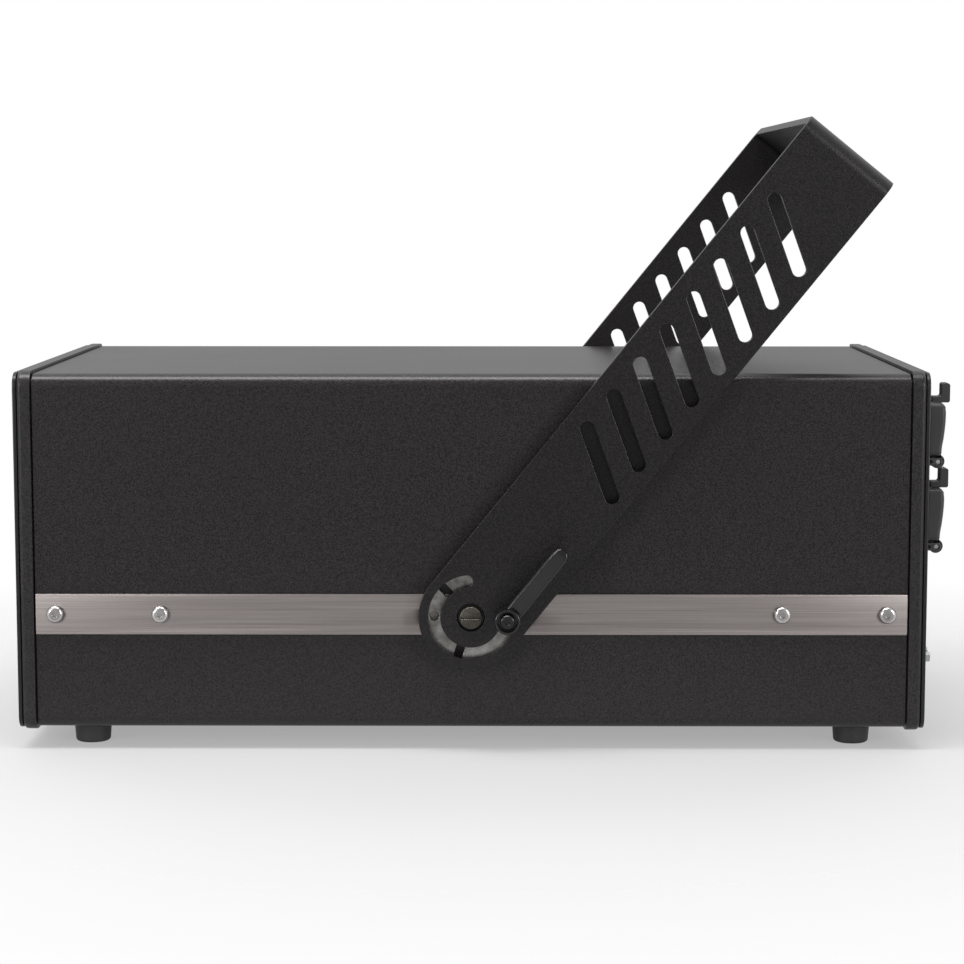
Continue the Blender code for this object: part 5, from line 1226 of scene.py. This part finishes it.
def hinge_ears():
    """Two ears from the flange's foot to the hinge pin, each with an opening in it."""
    ears = []
    foot = [(-HINGE_BELOW - EAR_HALF, EDGE_BREAK), (-HINGE_BELOW + EAR_HALF, EDGE_BREAK)]
    head = [(-HINGE_BELOW + EAR_HALF * math.cos(turn), HINGE_PROUD + EAR_HALF * math.sin(turn))
            for turn in (math.pi * i / 12 for i in range(13))]
    low, high = EAR_OPENING
    opening = slot_line(high - low - 0.0018, 0.0018, math.pi / 2, (-HINGE_BELOW, (low + high) / 2))
    for left in (-UNIT_HALF_WIDTH, UNIT_HALF_WIDTH - EAR_WIDTH):
        ear = plate("ear", foot + head, [opening, round_line(HINGE_PIN, (-HINGE_BELOW, HINGE_PROUD), 24)],
                    0, EAR_WIDTH, 0.00025)
        ears.append(lay(ear, (left, 0, 0), FACE_REAR))
    return ears


for use, place in mains_places.items():
    unit = lay(join([round_socket("mains_socket_" + use)] + hinge_ears()), place, FACE_REAR)
    dress(soften(unit, 0.00015, 1), socket_black, "housing", "black_plastic", "mains_" + use)
    contact_blades("mains_blades_" + use, 3, place)
    pin = drum("hinge_pin_" + use, HINGE_PIN - 0.00005, -UNIT_HALF_WIDTH + EAR_WIDTH / 3,
               UNIT_HALF_WIDTH - EAR_WIDTH / 3, 24)
    lay(lay(pin, (0, -HINGE_BELOW, HINGE_PROUD), (0, math.pi / 2, 0)), place, FACE_REAR)
    dress(soften(pin, 0.0003), screw_steel, "housing", "polished_steel")

interlock = lay(round_socket("interlock_round_socket"), interlock_place, FACE_REAR)
dress(soften(interlock, 0.00015, 1), socket_black, "housing", "black_plastic", "interlock_socket")
contact_blades("interlock_blades", 4, interlock_place)
print("sockets at", ["y %.3f z %.3f" % (place.y, place.z) for place in mains_places.values()])

# %% [markdown]
# ## Sprung lids
# Each mains socket has a dished lid that a spring holds shut. The lid is a block cut across into
# rows. The rows of its face are pushed in until the face bulges near the top and narrows towards
# the hinge. Then the corners and the rim are rounded, and the underside is sunk. A bent tab at
# the top lifts it, and two knuckles turn on the pin with the spring between them.

# %% Lids
LID_BASE = 0.0031
LID_PROUD = 0.0117
LID_LOW = -0.0145
LID_HIGH = 0.0155
LID_CORNER = 0.0035
LID_RIM_ROUND = 0.0021
# Rows across the lid's face: height on the unit and how far the face is pushed in there
LID_ROWS = ((-0.0145, 0.0022), (-0.0118, 0.0021), (-0.0085, 0.0018), (-0.0045, 0.0011), (0.0005, 0.0005),
            (0.0055, 0.0001), (0.0100, 0.0), (0.0132, 0.0004), (0.0155, 0.0012))
TAB_HALF_WIDTH = 0.005
TAB_LINE = ((0.0120, 0.0052), (0.0184, 0.0052), (0.0184, 0.0104), (0.0258, 0.0104), (0.0258, 0.01475),
            (0.0152, 0.01475), (0.0152, 0.0094), (0.0120, 0.0094))
KNUCKLE_LENGTH = 0.0052
SPRING_TURNS = 7
SPRING_RADIUS = 0.0026
SPRING_WIRE = 0.0004
SPRING_LENGTH = 0.0078


def lid_cap():
    """The dished cap of a lid, about its socket's axis."""
    cap = block("cap", (-UNIT_HALF_WIDTH, LID_LOW, LID_BASE), (UNIT_HALF_WIDTH, LID_HIGH, LID_PROUD))
    for height, push in LID_ROWS[1:-1]:
        pick(cap, "VERT", lambda place, normal: True)
        bpy.ops.mesh.bisect(plane_co=(0, height, 0), plane_no=(0, 1, 0))
        done()
    for height, push in LID_ROWS:
        pick(cap, "VERT", lambda place, normal: abs(place.y - height) < 0.00002
             and place.z > LID_PROUD - 0.00001)
        bpy.ops.transform.translate(value=(0, 0, -push))
        done()
    round_edges(cap, lambda place, way: abs(way.z) > 0.99 and
                (abs(place.y - LID_LOW) < 0.00001 or abs(place.y - LID_HIGH) < 0.00001), LID_CORNER, 6)

    def on_rim(place, way):
        past_x = abs(place.x) - (UNIT_HALF_WIDTH - LID_CORNER)
        past_y = abs(place.y - (LID_LOW + LID_HIGH) / 2) - ((LID_HIGH - LID_LOW) / 2 - LID_CORNER)
        reach = math.hypot(max(past_x, 0), max(past_y, 0))
        return place.z > LID_BASE + 0.003 and abs(way.z) < 0.7 and reach > LID_CORNER * 0.96

    round_edges(cap, on_rim, LID_RIM_ROUND, 5)
    pick(cap, "FACE", lambda place, normal: normal.z < -0.9)
    bpy.ops.mesh.inset(thickness=0.0025)
    bpy.ops.mesh.extrude_region_move(TRANSFORM_OT_translate={"value": (0, 0, 0.004)})
    done()
    return cap


def lid_tab():
    """The bent finger tab, drawn from its side and rounded at its corners."""
    tab = plate("tab", TAB_LINE, [], -TAB_HALF_WIDTH, TAB_HALF_WIDTH)
    round_edges(tab, lambda place, way: abs(way.z) > 0.9 and place.x > 0.015, 0.0012, 4)
    return lay(tab, (0, 0, 0), FACE_REAR)


def coil(name, radius, wire, turns, length):
    """A wound spring along Z: a round wire along a curve that climbs as it turns."""
    curve = bpy.data.curves.new(name, "CURVE")
    curve.dimensions = "3D"
    curve.bevel_depth = wire
    curve.bevel_resolution = 2
    spline = curve.splines.new("POLY")
    count = turns * 16
    spline.points.add(count)
    for index, point in enumerate(spline.points):
        turn = 2 * math.pi * index / 16
        point.co = (radius * math.cos(turn), radius * math.sin(turn), length * (index / count - 0.5), 1)
    curve.use_fill_caps = True
    spring = to_mesh(name, curve)
    bpy.ops.object.shade_smooth()
    return spring


knuckle_reach = UNIT_HALF_WIDTH - EAR_WIDTH - EDGE_BREAK
link_half = knuckle_reach - 0.001
knuckle_bore = HINGE_PIN + EDGE_BREAK
for use, place in mains_places.items():
    parts = [lid_cap(), lid_tab()]
    for side in (-1, 1):
        start, end = sorted((side * knuckle_reach, side * (knuckle_reach - KNUCKLE_LENGTH)))
        knuckle = lathe("knuckle", [(knuckle_bore, start), (HINGE_BARREL, start), (HINGE_BARREL, end),
                                    (knuckle_bore, end)], 40, closed=True)
        parts.append(lay(knuckle, (0, -HINGE_BELOW, HINGE_PROUD), (0, math.pi / 2, 0)))
    parts.append(block("link", (-link_half, -HINGE_BELOW + EAR_HALF + 0.0004, HINGE_PROUD - EAR_HALF),
                       (link_half, LID_LOW + 0.0025, HINGE_PROUD + EAR_HALF)))
    for side in (-1, 1):
        near = side * (knuckle_reach - KNUCKLE_LENGTH / 2)
        parts.append(block("web", (near - KNUCKLE_LENGTH / 2, -HINGE_BELOW + 0.0019, HINGE_PROUD - 0.0012),
                           (near + KNUCKLE_LENGTH / 2, LID_LOW + 0.002, HINGE_PROUD + 0.0020)))
    lid = join(parts)
    lid.name = "sprung_lid_" + use
    lay(lid, place, FACE_REAR)
    dress(soften(lid, 0.0002, 2), socket_black, "lid_of_" + use, "black_plastic", use + "_lid")
    spring = coil("lid_spring_" + use, SPRING_RADIUS, SPRING_WIRE, SPRING_TURNS, SPRING_LENGTH)
    lay(lay(spring, (0, -HINGE_BELOW, HINGE_PROUD), (0, math.pi / 2, 0)), place, FACE_REAR)
    dress(spring, screw_steel, "housing", "polished_steel")

# %% [markdown]
# ## Network and signal sockets
# The network socket is a metal flange with a rectangular port, a notch for the plug's latch and
# eight gold wires. The signal socket has a D-shaped shell round a black insert with twenty-five
# pins in two rows, and a hexagonal standoff at each side.

# %% Network socket
PORT_HALF_WIDTH = 0.0059
PORT_HALF_HEIGHT = 0.00425
LATCH_HALF_WIDTH = 0.0030
LATCH_DEPTH = 0.0022
PORT_DEPTH = 0.013
WIRE_PITCH = 0.00102

port_line = [(-PORT_HALF_WIDTH, PORT_HALF_HEIGHT), (-PORT_HALF_WIDTH, -PORT_HALF_HEIGHT),
             (-LATCH_HALF_WIDTH, -PORT_HALF_HEIGHT), (-LATCH_HALF_WIDTH, -PORT_HALF_HEIGHT - LATCH_DEPTH),
             (LATCH_HALF_WIDTH, -PORT_HALF_HEIGHT - LATCH_DEPTH), (LATCH_HALF_WIDTH, -PORT_HALF_HEIGHT),
             (PORT_HALF_WIDTH, -PORT_HALF_HEIGHT), (PORT_HALF_WIDTH, PORT_HALF_HEIGHT)]
network = plate("network_flange", box_line(UNIT_HALF_WIDTH, UNIT_HALF_HEIGHT, UNIT_CORNER), [port_line],
                EDGE_BREAK, UNIT_FACE, 0.0004)
liner = plate("liner", round_line(BARREL_RADIUS), [port_line], -PORT_DEPTH, 0.001)
back = drum("back", BARREL_RADIUS, -BARREL_DEPTH, -PORT_DEPTH + 0.0002, 32)
lay(join([network, liner, back]), network_place, FACE_REAR)
dress(soften(network, 0.0002, 2), cage, "housing", "steel_cage", "network_socket")
wires = [lay(block("network_wires", (-0.00022, -0.0002, -0.0065), (0.00022, 0.0002, 0.0065)),
             ((index - 3.5) * WIRE_PITCH, PORT_HALF_HEIGHT - 0.0014, -0.0045), (math.radians(14), 0, 0))
         for index in range(8)]
dress(soften(lay(join(wires), network_place, FACE_REAR), 0.0001, 1), brass, "housing", "polished_steel")

# %% Signal socket
DATA_HALF_WIDTH = 0.0265
DATA_HALF_HEIGHT = 0.00625
DATA_FLANGE = 0.0015
SHELL_TOP = 0.01925
SHELL_BOTTOM = 0.0181
SHELL_HALF_HEIGHT = 0.00415
SHELL_WALL = 0.0006
SHELL_PROUD = 0.006
DATA_BODY = 0.012
STANDOFF_AT = 0.0235
PIN_PITCH = 0.00277
PIN_ROW = 0.00142
PIN_RADIUS = 0.0005


def shell_line(inset):
    """The D-shaped outline, narrower at its lower side."""
    top, bottom, half = SHELL_TOP - inset, SHELL_BOTTOM - inset, SHELL_HALF_HEIGHT - inset
    points = []
    corner = 0.0016
    for quarter, (x, y) in enumerate(((top, half), (-top, half), (-bottom, -half), (bottom, -half))):
        middle_x, middle_y = x - math.copysign(corner, x), y - math.copysign(corner, y)
        for step in range(5):
            angle = math.pi / 2 * (quarter + step / 4)
            points.append((middle_x + corner * math.cos(angle), middle_y + corner * math.sin(angle)))
    return points


flange = plate("signal_flange", box_line(DATA_HALF_WIDTH, DATA_HALF_HEIGHT, 0.001, steps=4),
               [shell_line(SHELL_WALL)], EDGE_BREAK, DATA_FLANGE, 0.00025)
shell = plate("shell", shell_line(0), [shell_line(SHELL_WALL)], -DATA_BODY, SHELL_PROUD, 0.0001)
standoffs = [lay(drum("standoff", 0.0027, DATA_FLANGE - 0.0002, DATA_FLANGE + 0.0048, 6), (at, 0, 0))
             for at in (-STANDOFF_AT, STANDOFF_AT)]
bores = [lay(drum("bore", 0.0013, DATA_FLANGE + 0.001, DATA_FLANGE + 0.0060, 20), (at, 0, 0))
         for at in (-STANDOFF_AT, STANDOFF_AT)]
standoffs = cut(join(standoffs), bores)
signal = lay(join([flange, shell, standoffs]), data_place, FACE_REAR)
dress(soften(signal, 0.00012, 1), cage, "housing", "steel_cage", "data_socket")
insert = plate("signal_insert", shell_line(SHELL_WALL), [], -DATA_BODY + 0.0002, DATA_FLANGE - 0.0008)
dress(lay(insert, data_place, FACE_REAR), socket_black, "housing", "black_plastic")
pins = []
for row, count in ((1, 13), (-1, 12)):
    for index in range(count):
        pin = drum("signal_pins", PIN_RADIUS, 0, SHELL_PROUD - 0.0008, 10)
        pins.append(lay(pin, ((index - (count - 1) / 2) * PIN_PITCH, row * PIN_ROW, 0)))
dress(lay(join(pins), data_place, FACE_REAR), brass, "housing", "polished_steel")

# %% Flange screws
spots = [place + Vector((UNIT_FACE + SCREW_PROUD, y, z))
         for place in (interlock_place, network_place, *mains_places.values())
         for y, z in UNIT_SCREWS]
set_screws("socket_screws", small_screw, FACE_REAR, spots, screw_steel, "polished_steel")
bpy.data.objects.remove(small_screw, do_unlink=True)

# %% [markdown]
# ## Key switch
# The key switch is a bezel with a rotor in it, both spun on a lathe. The keyway is a slot with a
# wider middle, cut into the rotor, which turns with the key.

# %% Key switch
BEZEL = 0.0110
BEZEL_TOP = 0.0033
KEY_BARREL = 0.0093
KEY_BARREL_DEPTH = 0.024
ROTOR = 0.0058
ROTOR_DEPTH = 0.012
ROTOR_BORE = ROTOR + 0.0002
BORE_FLOOR = BEZEL_TOP - ROTOR_DEPTH - 0.0003

body = lathe("key_switch_body", [
    (0, -KEY_BARREL_DEPTH), (KEY_BARREL, -KEY_BARREL_DEPTH), (KEY_BARREL, EDGE_BREAK),
    (BEZEL, EDGE_BREAK), (BEZEL, BEZEL_TOP - 0.0016), (BEZEL - 0.0006, BEZEL_TOP - 0.0006),
    (BEZEL - 0.0018, BEZEL_TOP), (ROTOR_BORE + 0.0007, BEZEL_TOP), (ROTOR_BORE, BEZEL_TOP - 0.0005),
    (ROTOR_BORE, BORE_FLOOR), (0, BORE_FLOOR)], 64)
dress(soften(lay(body, key_place, FACE_REAR), 0.00012, 1), cage, "housing", "steel_cage", "key_switch")
rotor = lathe("key_switch_rotor", [(0, -ROTOR_DEPTH), (ROTOR, -ROTOR_DEPTH), (ROTOR, -0.0005),
                                   (ROTOR - 0.0005, 0), (0, 0)], 48)
cut(rotor, [block("keyway", (-0.0005, -0.004, -0.005), (0.0005, 0.004, 0.001))])
cut(rotor, [block("wide", (-0.0011, -0.0014, -0.005), (0.0011, 0.0014, 0.001))])
lay(rotor, key_place + Vector((BEZEL_TOP, 0, 0)), FACE_REAR)
dress(soften(rotor, 0.00012, 1), screw_steel, "key", "polished_steel", "key_rotor")

# %% [markdown]
# ## Pieces inside
# The pieces inside show only through the window, the vents and the open sockets. Their shapes
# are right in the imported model, so each is copied, its doubled points are merged, its edges are
# broken with a bevel and it gets its own material.

# %% Inner pieces
# Slot, material, body, width of the broken edges, and nodes
INNER = (
    ("aluminium", aluminium, "housing", 0.0004,
     ("seam_rail_near", "seam_rail_far", "optical_bench", "laser_blue", "laser_red", "laser_green",
      "scanner_block")),
    ("mirror_coating", mirror_metal, "housing", 0.0002,
     ("combining_mirror_1", "combining_mirror_2", "steering_mirror")),
    ("mirror_coating", mirror_metal, "scan_mirror_x", 0.0001, ("galvo_mirror_x",)),
    ("mirror_coating", mirror_metal, "scan_mirror_y", 0.0001, ("galvo_mirror_y",)),
    ("steel_cage", cage, "housing", 0.0003,
     ("galvo_motor_x", "galvo_motor_y", "shutter_motor", "power_supply")),
    ("black_panel", panel_coat, "shutter", 0.0002, ("shutter_blade",)),
    ("circuit_board", board_green, "housing", 0.0002, ("control_board",)),
    ("black_plastic", socket_black, "housing", 0.0004, ("fan_frame",)),
    ("black_plastic", socket_black, "fan", 0.0003, ("fan_rotor",)),
)


def carried_over(node, name, width):
    """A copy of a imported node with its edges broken."""
    piece = twin(frame["nodes"][node], name)
    tidy_normals(piece)
    return soften(piece, width)


for slot, material, body, width, nodes in INNER:
    for node in nodes:
        dress(carried_over(node, node + "_dressed", width), material, body, slot, node)
